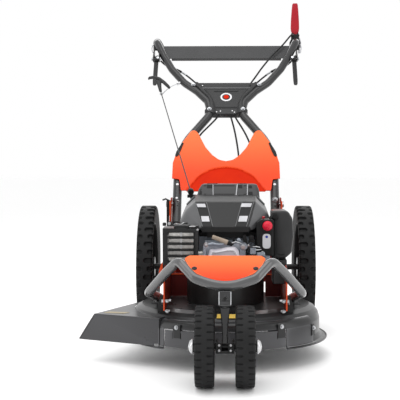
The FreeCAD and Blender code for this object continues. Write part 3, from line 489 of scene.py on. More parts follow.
def slab(outline, depth):
    """Plate: a closed outline of points pushed along a depth vector."""
    push = Vector(depth)
    return skin([[Vector(p) for p in outline], [Vector(p) + push for p in outline]])


def block(low, high):
    """Box between two corners."""
    (x0, y0, z0), (x1, y1, z1) = low, high
    return slab([(x0, y0, z0), (x1, y0, z0), (x1, y1, z0), (x0, y1, z0)], (0, 0, z1 - z0))


def hex_bolt(at, axis, head_r=7.0, head_h=5.0, washer_r=0.0):
    """Hexagon head on a face, with a chamfered top and, where asked, a washer under it."""
    shapes = []
    lift = 0.0
    along = Vector(axis).normalized()
    if washer_r:
        shapes.append(turning(at, axis, [(washer_r * 0.97, 0), (washer_r, 0.5), (washer_r, 1.4),
                                         (washer_r * 0.95, 1.8)], 28))
        lift = 1.8
    shapes.append(turning(Vector(at) + along * lift, axis,
                          [(head_r, 0), (head_r, head_h * 0.8), (head_r * 0.84, head_h)], 6))
    return merged(*shapes)


def piece(name, shape, finish, body, **more):
    """Finished object from one shape or several."""
    points, faces = merged(*shape) if isinstance(shape, list) else shape
    return finished(name, mesh_of(name, points, faces), finish, body, **more)


def bar(start, end, radius, count=18):
    """Round bar between two points with softened ends."""
    run = Vector(end) - Vector(start)
    soft = min(radius * 0.25, run.length * 0.2)
    return turning(start, run, [(radius - soft, 0), (radius, soft), (radius, run.length - soft),
                                (radius - soft, run.length)], count)


def inset(outline, share):
    """A flat outline of (x, z) shrunk towards its middle."""
    cx = (min(x for x, _ in outline) + max(x for x, _ in outline)) / 2
    cz = (min(z for _, z in outline) + max(z for _, z in outline)) / 2
    half = (max(x for x, _ in outline) - min(x for x, _ in outline)) / 2
    tall = (max(z for _, z in outline) - min(z for _, z in outline)) / 2
    return [(cx + (x - cx) * (1 - share / half), cz + (z - cz) * (1 - share / tall)) for x, z in outline]


def cushion(outline, radius, stages):
    """Skin across the machine over one outline of (x, z): stages are (y, inset) pairs."""
    smooth = [(p.x, p.y) for p in rounded(outline, radius)]
    return skin([[(x, y, z) for x, z in inset(smooth, share)] for y, share in stages])


def sheet_xz(outline, y, depth, radius=1.5):
    """Upright plate facing the front from an outline of (x, z)."""
    smooth = rounded([(x, y, z) for x, z in outline], radius)
    return slab(smooth, (0, depth, 0))


def rect(x0, x1, z0, z1):
    """Outline of an upright rectangle."""
    return [(x0, z0), (x1, z0), (x1, z1), (x0, z1)]


# ---------------------------------------------------------------- tyres
def cut_depth(across, along, reach, half):
    """1 inside a groove that runs in from an edge and ends round, 0 outside it, soft at its rim."""
    past = max(0.0, across - (reach - half))
    gap = half - math.hypot(past, along)
    return min(1.0, max(0.0, 0.5 + gap / 1.4))


def tyre(name, node, body, side, width, radius, bead, x_in, y, shoulder, pitches, per_pitch, cuts, depth):
    """Tyre as one closed skin; cuts(pitch number, place along it, place across) gives a groove's depth share."""
    steps = pitches * per_pitch
    profile = []
    wall = radius - bead
    for k in range(9):
        t = k / 8
        profile.append((4.5 - 4.5 * math.sin(math.pi * t * 0.5), bead + (wall - shoulder) * t, False))
    for k in range(1, 7):
        angle = math.pi / 2 * k / 6
        profile.append((shoulder * (1 - math.cos(angle)), radius - shoulder + shoulder * math.sin(angle), True))
    flat = max(10, round((width - 2 * shoulder) / 1.6))
    left = list(profile)
    for k in range(1, flat):
        left.append((shoulder + (width - 2 * shoulder) * k / flat, radius, True))
    right = [(width - u, r, tread) for u, r, tread in reversed(profile)]
    outline = left + right
    outline += [(width - 7.0, bead - 5.0, False), (7.0, bead - 5.0, False)]
    pitch_length = math.tau * radius / pitches
    rings = []
    for s in range(steps):
        angle = math.tau * s / steps
        number, share = divmod(s, per_pitch)
        along = (share / per_pitch - 0.5) * pitch_length
        ring = []
        for across, r, tread in outline:
            sunk = r
            if tread:
                sunk = r - depth * cuts(number, along, across)
            x = side * (x_in + across)
            ring.append((x, y + sunk * math.cos(angle), radius + sunk * math.sin(angle)))
        rings.append(ring)
    return piece(name, skin(rings, closed=True), RUBBER["tyre"], body, smooth_angle=50.0, replaced=[node])


def rear_cuts(number, along, across):
    """Depth share of the rear tyre's grooves: long and short ones by turns from both shoulders."""
    width = REAR_OUT - REAR_IN
    long_one = number % 2 == 0
    inner = cut_depth(across, along, 27.0 if long_one else 16.0, 7.4)
    outer = cut_depth(width - across, along, 12.0 if long_one else 19.0, 6.6)
    return max(inner, outer)


def front_cuts(number, along, across):
    """Depth share of the front tyres' narrow grooves, from the two shoulders by turns."""
    width = FRONT_OUT - FRONT_IN
    if number % 2:
        return cut_depth(across, along, 17.0, 2.2)
    return cut_depth(width - across, along, 17.0, 2.2)


for side, word in SIDES:
    tyre(f"rear_tyre_{word}_tread", f"rear_tyre_{word}", f"rear_wheel_{word}", side, REAR_OUT - REAR_IN, REAR_R,
         REAR_RIM, REAR_IN, 0.0, 7.0, 48, 12, rear_cuts, 7.0)
    tyre(f"front_tyre_{word}_tread", f"front_tyre_{word}", f"front_wheel_{word}", side, FRONT_OUT - FRONT_IN,
         FRONT_R, FRONT_RIM, FRONT_IN, -WHEELBASE, 6.0, 66, 8, front_cuts, 3.4)


# ---------------------------------------------------------------- cables and starter rope
BLADE_CABLE = [(262, 616, 1052), (256, 596, 1050), (240, 573, 1031), (218, 548, 1002), (182, 519, 966),
               (154, 490, 932), (131, 464, 902), (111, 440, 872), (92, 422, 846), (76, 404, 822), (60, 388, 798)]
DRIVE_CABLE = [(252, 944, -7), (240, 940, -19), (225, 934, -24), (209, 926, -23), (192, 915, -16),
               (170, 899, -10), (147, 880, -6), (120, 855, -4), (96, 832, -2), (72, 806, 0)]
LEFT_LOWER = [(-16, 324, 738), (-30, 302, 714), (-58, 276, 684), (-92, 246, 650), (-118, 208, 610),
              (-132, 170, 566), (-136, 128, 518), (-130, 86, 470), (-116, 44, 424), (-98, 8, 378),
              (-82, -12, 332), (-74, -16, 296), (-74, -16, 270)]
RIGHT_LOWER = [(22, 324, 738), (34, 300, 710), (56, 270, 676), (76, 236, 638), (92, 196, 594), (104, 156, 548),
               (110, 114, 502), (108, 72, 454), (98, 34, 408), (86, 2, 364), (76, -14, 326), (72, -16, 294),
               (72, -16, 270)]
MIDDLE_LOWER = [(12, 322, 736), (20, 296, 704), (30, 264, 666), (38, 228, 622), (44, 190, 578), (46, 150, 532),
                (44, 110, 486), (40, 70, 440), (36, 34, 394), (33, 6, 350), (32, -10, 314), (32, -14, 290),
                (32, -14, 270)]
CABLE_R, ROPE_R = 3.2, 1.8
ROPE_START = (-102, -396, 466)
ROPE_END = (-241, 360, 810)
ROPE_EYE_BACK = 22.0


def cables():
    """Three cables on the handle, and three curved ones below it that run between the chassis and the handle."""
    drive = [handle(x, z, off) for x, z, off in DRIVE_CABLE]
    throttle = [handle(-x, z, off) for x, z, off in DRIVE_CABLE]
    for name, route in (("blade_cable", BLADE_CABLE), ("drive_cable", drive), ("throttle_cable", throttle)):
        piece(name, tube_along(spline_line(route), CABLE_R), RUBBER["cable"], "handle",
              replaced=["control_cables"])
    for name, route in (("clutch_cable_lower", LEFT_LOWER), ("blade_cable_lower", RIGHT_LOWER),
                        ("shift_cable_lower", MIDDLE_LOWER)):
        lower = piece(name, tube_along(spline_line(route), CABLE_R), RUBBER["cable"], None,
                      replaced=["control_cables"])
        place(route[-1][0], -16, 270)
        place(route[0][0], 300, 712)
        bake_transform(lower)


def starter_rope():
    """Taut rope from the recoil starter through the wire guide, and its short end at the T grip."""
    start, end = Vector(ROPE_START), Vector(ROPE_END)
    pull = (end - start).normalized()
    eye = end - pull * ROPE_EYE_BACK
    shapes = []
    for first, last, steps in ((start, eye, 90), (eye, end, 6)):
        line = [first.lerp(last, k / steps) for k in range(steps + 1)]
        shapes.append(tube_along(line, ROPE_R, 8))
    main = piece("starter_rope_run", shapes[0], RUBBER["cable"], None, replaced=["starter_rope"])
    place(*start)
    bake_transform(main)
    tail = piece("starter_rope_tail", shapes[1], RUBBER["cable"], None, replaced=["starter_rope"])
    place(*end)
    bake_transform(tail)


cables()
starter_rope()


# ---------------------------------------------------------------- engine cover
HOOD = ((COVER_FRONT, (60, 63, 64, 62), (362, 365, 369, 373)),
        (-520.0, (106, 128, 112, 84), (356, 385, 415, 441)),
        (-420.0, (122, 132, 115, 86), (350, 382, 425, 456)),
        (COVER_BACK, (118, 126, 108, 84), (350, 385, 430, 456)))


def hood_numbers(y):
    """Half widths and heights of the cover's section at y, straight between the main ones."""
    y = min(max(y, HOOD[0][0]), HOOD[-1][0])
    for (y0, wide0, high0), (y1, wide1, high1) in zip(HOOD, HOOD[1:]):
        if y <= y1:
            t = (y - y0) / (y1 - y0)
            return ([a + (b - a) * t for a, b in zip(wide0, wide1)], [a + (b - a) * t for a, b in zip(high0, high1)])


def hood_softened(y, reach=9.0):
    """The section at y averaged over its neighbours, which rounds the creases across the cover."""
    found = [hood_numbers(y + reach * k / 3.0) for k in range(-3, 4)]
    wide = [sum(f[0][k] for f in found) / len(found) for k in range(4)]
    high = [sum(f[1][k] for f in found) / len(found) for k in range(4)]
    return wide, high


def blower_cover():
    """Cover over the engine's top: a dark front and top, lighter shoulders and black undersides."""
    stops = [COVER_FRONT + (COVER_BACK - COVER_FRONT) * k / 46 for k in range(47)]
    rings = []
    for y in stops:
        wide, high = hood_softened(y)
        near = min(1.0, (y - stops[0]) / 60.0)
        corners = [(wide[k], y, high[k]) for k in range(4)]
        corners += [(-x, yy, z) for x, yy, z in reversed(corners)]
        soft = [1.0, 3.0 + 10 * near, 2.0 + 14 * near, 1.5 + 3.5 * near]
        rings.append(rounded(corners, soft + soft[::-1], 5))
    points, faces = skin(rings)
    mesh = mesh_of("engine_cover", points, faces)
    for polygon in mesh.polygons:
        middle = polygon.center * 1000.0 + MIDDLE
        wide, high = hood_softened(middle.y)
        if abs(middle.x) > wide[3] + 1.0 and middle.y > COVER_FRONT + 4:
            polygon.material_index = 1 if middle.z > high[1] else 2
    finished("engine_cover", mesh, [PLASTIC["cover"], PLASTIC["cover_side"], PLASTIC["black"]], "root",
             smooth_angle=32.0, replaced=["blower_cover"])


def on_slope(x, t, lift=0.0):
    """Point on the cover's sloping front: t is 0 at its foot and 1 at its crest."""
    y = COVER_FRONT + SLOPE_RUN * t
    run = Vector((0.0, -68.0, SLOPE_RUN)).normalized()
    wide, high = hood_softened(y)
    return Vector((x, y, high[3])) + run * lift


def slope_plate(corners, low, high):
    """Thin plate on the sloping front from (x, t) corners, its faces low and high above the surface."""
    fine = []
    for a, b in zip(corners, corners[1:] + corners[:1]):
        for k in range(8):
            fine.append((a[0] + (b[0] - a[0]) * k / 8, a[1] + (b[1] - a[1]) * k / 8))
    return skin([[on_slope(x, t, low) for x, t in fine], [on_slope(x, t, high) for x, t in fine]])


def cover_details():
    """Two dark strips down the sloping front with edge rails and blank labels."""
    strips, rails, marks = [], [], []
    for outer, inner in (((-85, -62), (-53, -34)), ((78, 57), (46, 27))):
        strips.append(slope_plate([(outer[0], 0.97), (inner[0], 0.97), (inner[1], 0.02), (outer[1], 0.02)],
                                  -1.5, 0.7))
        for high_x, low_x in (outer, inner):
            line = [on_slope(high_x + (low_x - high_x) * k / 10, 0.97 - 0.095 * k, 0.8) for k in range(11)]
            rails.append(tube_along(line, 1.3, 8))
    for x0, x1, x2, x3, high_t, low_t in ((-81, -57, -54, -77, 0.90, 0.77), (-67, -46, -43, -64, 0.42, 0.22),
                                          (46, 74, 70, 42, 0.92, 0.78), (39, 62, 58, 35, 0.43, 0.22)):
        marks.append(slope_plate([(x0, high_t), (x1, high_t), (x2, low_t), (x3, low_t)], 0.5, 2.0))
    piece("cover_strips", strips, PLASTIC["black"], "root")
    piece("cover_strip_rails", rails, PLASTIC["cover_side"], "root")
    piece("cover_blank_labels", marks, LABEL["silver"], "root")


def plateau():
    """Raised rear part of the cover with its vents, wider on the right, and silver lines at the vent edges that are
    painted glints.
    """
    low = [(-86, -420, 436), (100, -420, 436), (100, -290, 436), (-86, -290, 436)]
    middle = [(-80, -398, 470), (98, -398, 470), (96, -296, 470), (-78, -296, 470)]
    top = [(-70, -384, 487), (92, -384, 487), (88, -302, 487), (-66, -302, 487)]
    shell = skin([rounded(low, 8), rounded(middle, 12), rounded(top, 12)])
    piece("cover_plateau", shell, PAINT["panel"], "root", bevel=4.0)
    out = Vector((0.0, -36.0, 36.0)).normalized()

    def front(x, t, lift):
        return Vector((x, -420.0 + 36.0 * t, 438.0 + 49.0 * t)) + out * lift

    def plate(x0, x1, x2, x3, t0, t1, lift, soft=1.5):
        foot = [front(x0, t0, lift - 2.5), front(x1, t0, lift - 2.5), front(x2, t1, lift - 2.5),
                front(x3, t1, lift - 2.5)]
        return slab(rounded(foot, soft), out * 2.5)

    fields = [plate(*xs, 0.06, 0.95, 0.5) for xs in ((-33, 25, 27, -34), (-62, -57, -56, -64), (51, 60, 62, 53))]
    piece("cover_plateau_panel", fields, PLASTIC["cover"], "root", bevel=0.5)
    slots = []
    for x0, x1 in ((-55, -38), (36, 49)):
        slots += [plate(x0, x1, x1, x0, 0.04, 0.36, 0.9, 3), plate(x0, x1, x1, x0, 0.64, 0.95, 0.9, 3)]
        for y in (-366, -342, -318):
            slots.append(slab(level_ring(x0, x1 + 14, y - 5, y + 5, 486.5, 4), (0, 0, 1.2)))
    slots += [plate(66, 79, 77, 67, 0.32, 0.92, 0.9, 5), plate(-78, -70, -68, -73, 0.3, 0.7, 0.9, 2)]
    piece("cover_vents", slots, PLASTIC["black"], "root")
    # painted glints: silver lines along the vents' edges
    glint_lines = [tube_along([front(29, 0.06, 1.2), front(34, 0.95, 1.2)], 1.5, 8),
            tube_along([front(63, 0.28, 1.2), front(64, 0.95, 1.2)], 1.1, 8),
            tube_along([front(-36, 0.06, 1.2), front(-37, 0.95, 1.2)], 0.9, 8)]
    piece("cover_vent_glints", glint_lines, LABEL["silver"], "root")


def side_grille():
    """Small bars on the cover's shoulders over a dark field."""
    bars, fields = [], []
    for sign, _ in SIDES:
        def shoulder(t, y, lift):
            wide, high = hood_softened(y)
            x = wide[3] + (wide[2] - wide[3]) * t
            z = high[3] + (high[2] - high[3]) * t
            out = Vector((sign * (high[3] - high[2]), 0.0, wide[2] - wide[3])).normalized()
            return Vector((sign * x, y, z)) + out * lift
        edge = [shoulder(0.12, -440, 0.5), shoulder(0.86, -440, 0.5), shoulder(0.86, -330, 0.5),
                shoulder(0.12, -330, 0.5)]
        fields.append(skin([edge, [p + Vector((0, 0, 0.9)) for p in edge]]))
        for k in range(9):
            y = -434 + 12 * k
            bars.append(tube_along([shoulder(0.1, y, 1.6), shoulder(0.88, y, 1.6)], 1.6, 8))
    piece("cover_grille_field", fields, PLASTIC["black"], "root")
    piece("cover_grille_bars", bars, PLASTIC["cover_side"], "root")


blower_cover()
cover_details()
plateau()
side_grille()


# ---------------------------------------------------------------- orange panels
def follow(outline, x):
    """Height of an outline, listed by rising x, at a place, straight between its points."""
    x = min(max(x, outline[0][0]), outline[-1][0])
    for (x0, z0), (x1, z1) in zip(outline, outline[1:]):
        if x <= x1:
            return z0 + (z1 - z0) * (x - x0) / (x1 - x0)
    return outline[-1][1]


def smooth_follow(outline, x, reach):
    """follow() averaged over a stretch, which rounds the outline's corners."""
    return sum(follow(outline, x + reach * k / 4.0) for k in range(-4, 5)) / 9.0


def panel(name, xs, low, high, rows, at, thick, finishes, body, replaced, second=None, rim=4.0):
    """Moulded sheet over columns xs between low(x) and high(x).

    at(x, s, off) is the point at share s up a column, off in front of the sheet. rim is not used.
    second(x, s) says which of the faces take the second finish.
    """
    front, back = [], []
    for x in xs:
        column_front, column_back = [], []
        for r in range(rows + 1):
            s = r / rows
            column_front.append(at(x, low(x), high(x), s, 0.0))
            column_back.append(at(x, low(x), high(x), s, -thick))
        front.append(column_front)
        back.append(column_back)
    rings = []
    for column_front, column_back in zip(front, back):
        rings.append(column_front + column_back[::-1])
    points, faces = skin(rings)
    parts = None
    if second:
        parts = []
        count = 2 * (rows + 1)
        for k in range((len(rings) - 1) * count):
            column, row = divmod(k, count)
            on_front = row < rows
            x = (xs[column] + xs[column + 1]) / 2
            parts.append(1 if on_front and second(x, (row + 0.5) / rows) else 0)
        parts += [0, 0]
    mesh = mesh_of(name, points, faces, parts)
    return finished(name, mesh, finishes, body, smooth_angle=40.0, replaced=replaced, bevel=0.0)


FAIRING_TOP = [(0, 542), (24, 547), (47, 563), (71, 590), (88, 621), (99, 643), (112, 653), (125, 650), (157, 605),
               (176, 567), (184, 535)]
FAIRING_LOW = [(0, 443), (152, 443), (158, 480), (184, 484)]
ARCH = [(0, 521), (47, 515), (92, 492), (122, 458), (134, 439)]


def mirrored(outline):
    """A right half outline with its left half put before it."""
    return [(-x, z) for x, z in reversed(outline[1:])] + outline


def fairing():
    """Orange panel between the lower tubes, with an arch set back at its foot that is coloured deeper orange as
    painted shade, and two side slots.
    """
    top, low, arch = mirrored(FAIRING_TOP), mirrored(FAIRING_LOW), mirrored(ARCH)
    xs = sorted({-184 + 2 * k for k in range(185)} | {-153, -156.5, 153, 156.5})

    def in_arch(x, z):
        if abs(x) > 133:
            return 0.0
        return min(1.0, max(0.0, (smooth_follow(arch, x, 12.0) - z) / 5.0 + 0.5))

    def at(x, z_low, z_high, s, off):
        z = z_low + (z_high - z_low) * s
        crown = 2.5 * (1 - (x / 184.0) ** 2)
        roll = 3.0 * max(0.0, 1 - (z_high - z) / 7.0) ** 2
        return handle(x, z, 19.0 + crown - roll - 5.0 * in_arch(x, z) + off)

    # the arch's faces take the deeper orange, painted shade of the recess
    panel("fairing_panel", xs, lambda x: smooth_follow(low, x, 2.0), lambda x: smooth_follow(top, x, 4.0), 72, at,
          3.2, [PLASTIC["orange"], PLASTIC["deep_orange_and_shade"]], "handle", ["fairing"],
          second=lambda x, s: in_arch(x, smooth_follow(low, x, 2.0)
                                      + s * (smooth_follow(top, x, 4.0) - smooth_follow(low, x, 2.0))) > 0.5)
    slots = []
    for sign, _ in SIDES:
        rim = [(149, 603), (154, 606), (173, 574), (177, 560), (172, 556), (166, 560), (158, 578)]
        slots.append(slab([handle(sign * x, z, 20.2) for x, z in rim], HANDLE_OUT * 1.4))
    piece("fairing_slots", slots, PLASTIC["black"], "handle")


SHIELD_LOW = [(0, 1.0), (25, 0.97), (50, 0.88), (74, 0.70), (92, 0.43), (101, 0.12)]
SHIELD_HIGH = [(0, 0.0), (90, 0.0), (101, 0.10)]
SHIELD_TOP, SHIELD_FOOT = Vector((0, -797, 314)), Vector((0, -872, 259.5))
SHIELD_OUT = Vector((0.0, -54.5, 75.0)).normalized()


def shield_point(x, s, off):
    """Point on the shield's slope: s runs from its top edge down to its foot."""
    point = SHIELD_TOP.lerp(SHIELD_FOOT, s) + SHIELD_OUT * off
    return Vector((x, point.y, point.z))


def shield():
    """Orange front shield with its screw heads and lighter orange lines along its edges that are painted highlights.
    """
    low, high = mirrored(SHIELD_LOW), mirrored(SHIELD_HIGH)
    xs = [-100.5 + 201.0 * k / 60 for k in range(61)]

    def at(x, s_low, s_high, s, off):
        share = s_low + (s_high - s_low) * s
        edge = max(0.0, 1 - (s_low - share) * 92 / 6.0)
        side = max(0.0, (abs(x) - 94.0) / 7.0)
        return shield_point(x, share, 3.6 - 1.8 * edge ** 2 - 2.0 * side ** 2 + off)

    panel("shield_panel", xs, lambda x: smooth_follow(low, x, 3.0), lambda x: smooth_follow(high, x, 1.5), 30, at,
          3.4, [PLASTIC["shield"]], "root", ["front_shield"])
    dome = [(6.6, 0), (6.6, 1.6), (5.2, 2.8), (2.2, 3.2), (1.8, 2.4)]
    screws = [turning(shield_point(sign * 76, 0.52, 2.6), SHIELD_OUT, dome, 26) for sign in (-1, 1)]
    piece("shield_screw_heads", screws, PAINT["black"], "root", replaced=["shield_screws"])
    # painted highlight: thin lighter orange lines along the shield's lower edges
    edges = []
    for sign, _ in SIDES:
        line = [shield_point(sign * x, smooth_follow(low, sign * x, 3.0) - 0.035, 3.0) for x in range(56, 99, 6)]
        edges.append(tube_along(line, 0.9, 8))
    piece("shield_edge_highlights", edges, PLASTIC["edge_highlight_orange"], "root")


# ---------------------------------------------------------------- handle middle
COVER_HALF = [(720, 42), (722, 60), (726, 76), (733, 79), (741, 68), (748, 62), (766, 62), (781, 69), (806, 95),
              (829, 119), (840, 116)]
COVER_FACE = [(720, 36), (743, 36), (747, 40), (762, 44), (785, 56), (813, 78), (818, 92), (840, 104)]
COVER_DEEP = [(720, 8), (741, 8), (744, 5), (749, 8), (812, 8.5), (817, 12), (822, 11), (840, 11)]


def centre_cover():
    """Moulded cover where the tubes meet, with slot, a black strip of painted shadow under its ledge, ridge, plain
    ring badge, studs and bolts.
    """
    rows = []
    for k in range(66):
        z = COVER_LOW + (COVER_HIGH - COVER_LOW) * k / 65
        half = sum(follow(COVER_HALF, z + d) for d in (-2, -1, 0, 1, 2)) / 5
        face = follow(COVER_FACE, z)
        deep = follow(COVER_DEEP, z)
        end = max(0.0, 1 - min(z - COVER_LOW, COVER_HIGH - z) / 3.0)
        ring = []
        for n in range(49):
            x = -half + 2 * half * n / 48
            rise = min(1.0, max(0.0, (abs(x) - face) / max(4.0, 0.35 * (half - face))))
            rim = max(0.0, 1 - (half - abs(x)) / 5.0)
            ring.append((x, deep + (17 - deep) * (rise * rise * (3 - 2 * rise)) - 7.0 * rim ** 2 - 2.0 * end ** 2))
        ring += [(half, -12.0), (half * 0.5, -12.0), (-half * 0.5, -12.0), (-half, -12.0)]
        rows.append([handle(x, z, off) for x, off in ring])
    points, faces = skin(rows)
    finished("centre_cover_shell", mesh_of("centre_cover_shell", points, faces), PLASTIC["dark"], "handle",
             smooth_angle=60.0, replaced=["centre_cover"])

    def flat(points_xz, off, lift, radius=2.0):
        return slab(rounded([handle(x, z, off) for x, z in points_xz], radius), HANDLE_OUT * lift)

    def raised(x, z, off, profile, count):
        return turning(handle(x, z, off), HANDLE_OUT, profile, count)

    # the strip at z 804.5 to 808 is the slot; the one at z 742 to 747 is painted shadow under the ledge
    dark = [flat(rect(-45, 45, 804.5, 808), 8.0, 0.9, 1.2),
            flat([(-37, 742), (37, 742), (38, 747), (-38, 747)], 5.6, 1)]
    piece("centre_cover_slot_and_shadow", dark, PLASTIC["black"], "handle")
    band = [flat([(-88, 815.5), (88, 815.5), (92, 819), (-92, 819)], 11.0, 1.6, 1.2)]
    piece("centre_cover_ridge", band, PLASTIC["cover_side"], "handle", bevel=0.5)
    for name, off, profile, count, finish in (
            ("badge_ring", 8.2, [(21, 0), (21, 1.2), (19.6, 1.8), (17.0, 1.8), (16.0, 1.0)], 40, LABEL["white"]),
            ("badge_disc", 8.4, [(15.0, 0), (15.0, 0.8), (8, 1.6), (1.0, 1.9)], 40, PLASTIC["cover"]),
            ("badge_centre", 9.6, [(9.5, 0), (9.5, 0.9), (8.6, 1.3), (1.0, 1.4)], 36, PLASTIC["deep_orange_and_shade"])):
        shape = raised(0, BADGE_Z, off, profile, count)
        piece(name, shape, finish, "handle")
    holes = [raised(x, z, 11.2, [(4.0, 0), (4.0, 0.8), (2.4, 0.9)], 18)
             for x, z in ((-103, 829), (-88, 827), (88, 828), (103, 830))]
    studs = [raised(x, z, 8.6 if z < 740 else 11.6, [(2.4, 0), (2.4, 0.8), (1.6, 0.9)], 16)
             for x, z in ((-88, 827), (-21, 730), (-35, 727), (22, 731), (30, 726))]
    bolts = [hex_bolt(handle(x, z, 16), HANDLE_OUT, 5.6, 4.5, 8.0)
             for x, z in ((-122, 828), (122, 828), (-61, 733), (61, 733))]
    piece("centre_cover_holes", holes, PLASTIC["black"], "handle")
    piece("centre_cover_studs", studs, LABEL["white"], "handle")
    piece("centre_cover_bolts", bolts, METAL["zinc"], "handle")


def bent(points, reaches, steps=10):
    """Open path with each inner corner rounded off from its reach before it to its reach after it."""
    path = [Vector(points[0])]
    for before, corner, after, reach in zip(points, points[1:], points[2:], reaches):
        before, corner, after = Vector(before), Vector(corner), Vector(after)
        start = corner + (before - corner).normalized() * reach
        end = corner + (after - corner).normalized() * reach
        for k in range(steps + 1):
            t = k / steps
            path.append(start * (1 - t) ** 2 + corner * 2 * t * (1 - t) + end * t * t)
    return path + [Vector(points[-1])]


def tube_fixings():
    """Lower handle tubes with their studs, and the rubber sleeves of the two grips."""
    tubes, holes, sleeves = [], [], []
    ridges = [(13.0, 0), (15.6, 0.6), (GRIP_R, 2.4)]
    for k in range(13):
        ridges += [(GRIP_R, 6 + 10.4 * k), (15.9, 7.2 + 10.4 * k), (GRIP_R, 8.4 + 10.4 * k)]
    ridges += [(GRIP_R, GRIP_LONG - 2.4), (15.6, GRIP_LONG - 0.6), (13.0, GRIP_LONG)]
    for sign, _ in SIDES:
        route = [handle(sign * x, z)
                 for x, z in ((163, 346), (165, 470), (166, 545), (143, 622), (62, 718), (55, 742))]
        tubes.append(tube_along(bent(route, (40, 36, 40, 14)), LOWER_TUBE_R, 32))
        for z, r in ((466, 4.6), (421, 4.0)):
            holes.append(turning(handle(sign * 165, z, 14.2), HANDLE_OUT, [(r, 0), (r, 1.0), (r * 0.6, 1.6)], 18))
        sleeves.append(turning((sign * GRIP_X, GRIP_START, GRIP_Z), (0, 1, 0), ridges, 36))
    piece("lower_handle_tubes", tubes, PAINT["tube_dark"], "handle", smooth_angle=40, replaced=["lower_tubes"])
    piece("tube_studs", holes, LABEL["white"], "handle")
    piece("grip_sleeves", sleeves, RUBBER["grip"], "handle", smooth_angle=50, replaced=["grips"])
    rods = [bar((-196, 18, 426), (-188, 18, 372), 3.2),
            tube_along([(-212, 14, 424), (-202, 16, 428), (-186, 18, 420)], 3.0, 10)]
    piece("latch_rods", rods, PAINT["black"], "root")


def hand_levers():
    """The two squeeze levers with their housings, pins and wire loops; the right one stands nearer the middle."""
    for sign, word in SIDES:
        inward = -9 if sign > 0 else 0
        x = sign * (268 + inward)
        rows = []
        for y, z, half, deep in ((515, 951, 8, 5), (500, 933, 8.3, 4.5), (466, 897, 8.3, 4), (430, 857, 8.2, 4),
                                 (419, 844, 7.2, 4), (415, 839.5, 4.4, 3.4)):
            ring = [(x - half, y, z), (x + half, y, z), (x + half, y + deep, z - deep * 0.7),
                    (x - half, y + deep, z - deep * 0.7)]
            rows.append(rounded(ring, 1.6, 3))
        eye = bar((x - 8, *PIVOT), (x + 8, *PIVOT), 11, 28)
        back = tube_along(spline_line([(x, *PIVOT), (sign * 268, 542, 957), (sign * 269, 585, 963),
                                       (sign * 269, 650, 965), (sign * 269, 700, 965)]), 5.2)
        piece(f"hand_lever_{word}_blade", [skin(rows), eye, back], PAINT["black"], f"lever_{word}", smooth_angle=45,
              replaced=[f"hand_lever_{word}"])
        shell = []
        for y, z, near, far, deep in ((566, 985, 255, 284, 15), (569, 988, 254, 284, 17), (578, 998, 254, 285, 20),
                                      (592, 1010, 256, 285, 20)):
            a, b = span(sign, near, far)
            shell.append(level_ring(a, b, y, y + deep, z, 4, 3))
        cheek = []
        for near, far in ((255.5, 259.3), (277, 280.6)):
            a, b = span(sign, near + inward, far + inward)
            outline = rounded([(a, 499, 935), (a, 516, 933), (a, 566, 966), (a, 566, 990), (a, 552, 990),
                               (a, 500, 956)], 5)
            cheek.append(slab(outline, (b - a, 0, 0)))
        pin = [bar((sign * (start + inward), *PIVOT), (sign * (end + inward), *PIVOT), r)
               for start, end, r in ((250, 284, 3.9), (282, 286.5, 6.8))]
        piece(f"lever_housing_{word}", [skin(shell)] + cheek, PAINT["black"], "handle", smooth_angle=45,
              replaced=["handle_brackets"])
        piece(f"lever_pin_{word}", pin, METAL["zinc"], "handle")
        stud = turning((sign * (262 if sign < 0 else 252), 497.5, 950), (0, -1, 0.6),
                       [(5.4, 0), (5.4, 1), (3.4, 1.6)], 18)
        piece(f"lever_stud_{word}", stud, METAL["zinc"], "handle")
        loop = [(sign * 284, 560, 975), (sign * 290, 566, 985), (sign * 291, 578, 1000), (sign * 287, 590, 1008)]
        piece(f"wire_loop_{word}", tube_along(spline_line(loop), 2.6, 12), LABEL["silver"], "handle")


def blade_control():
    """Clamp, cable adjuster and tab on the right grip, and the red lever above it."""
    clamp = [turning((GRIP_X, 626, GRIP_Z), (0, 1, 0), [(20, 0), (21.5, 1.5), (21.5, 26), (20, 27.5)], 36),
             sheet_xz(rect(256, 260, 1034, 1060), 628, 24, 1.5), sheet_xz(rect(280, 284, 1034, 1060), 628, 24, 1.5),
             bar((252, CLAMP_Y, 1050), (288, CLAMP_Y, 1050), 4), sheet_xz(rect(254, 286, 1029, 1053), 624, 2.4, 3)]
    piece("blade_lever_clamp", clamp, PAINT["black"], "handle", bevel=0.5)
    adjuster = [turning((262, 616, 1052), (-8, -26, -8), [(4.4, 0), (5.2, 3), (5.2, 14), (3.8, 20), (3.4, 24)], 18)]
    piece("cable_adjuster", adjuster, PAINT["black"], "handle")
    tab = [sheet_xz([(284, 1000), (294, 1002), (295, 1024), (290, 1040), (284, 1042)], 640, 3, 3),
           bar((288, 636, 986), (288, 642, 986), 7)]
    piece("clamp_tab", tab, LABEL["silver"], "handle")
    rows = []
    for z, half, deep in ((1058, 11, 5), (1065, 15, 6), (1078, 16.8, 6.4), (1110, 15.8, 6.2), (1150, 13, 5.8),
                          (1170, 11, 5.4), (1175.5, 8.6, 4)):
        rows.append(level_ring(GRIP_X - half, GRIP_X + half, CLAMP_Y - deep, CLAMP_Y + deep, z, 3.2, 4))
    neck = slab(rounded([(261, 635, 1042), (279, 635, 1042), (279, 635, 1066), (261, 635, 1066)], 3), (0, 10, 0))
    piece("blade_lever_blade", [skin(rows), neck], PLASTIC["red"], "blade_lever", smooth_angle=45,
          replaced=["blade_lever"])


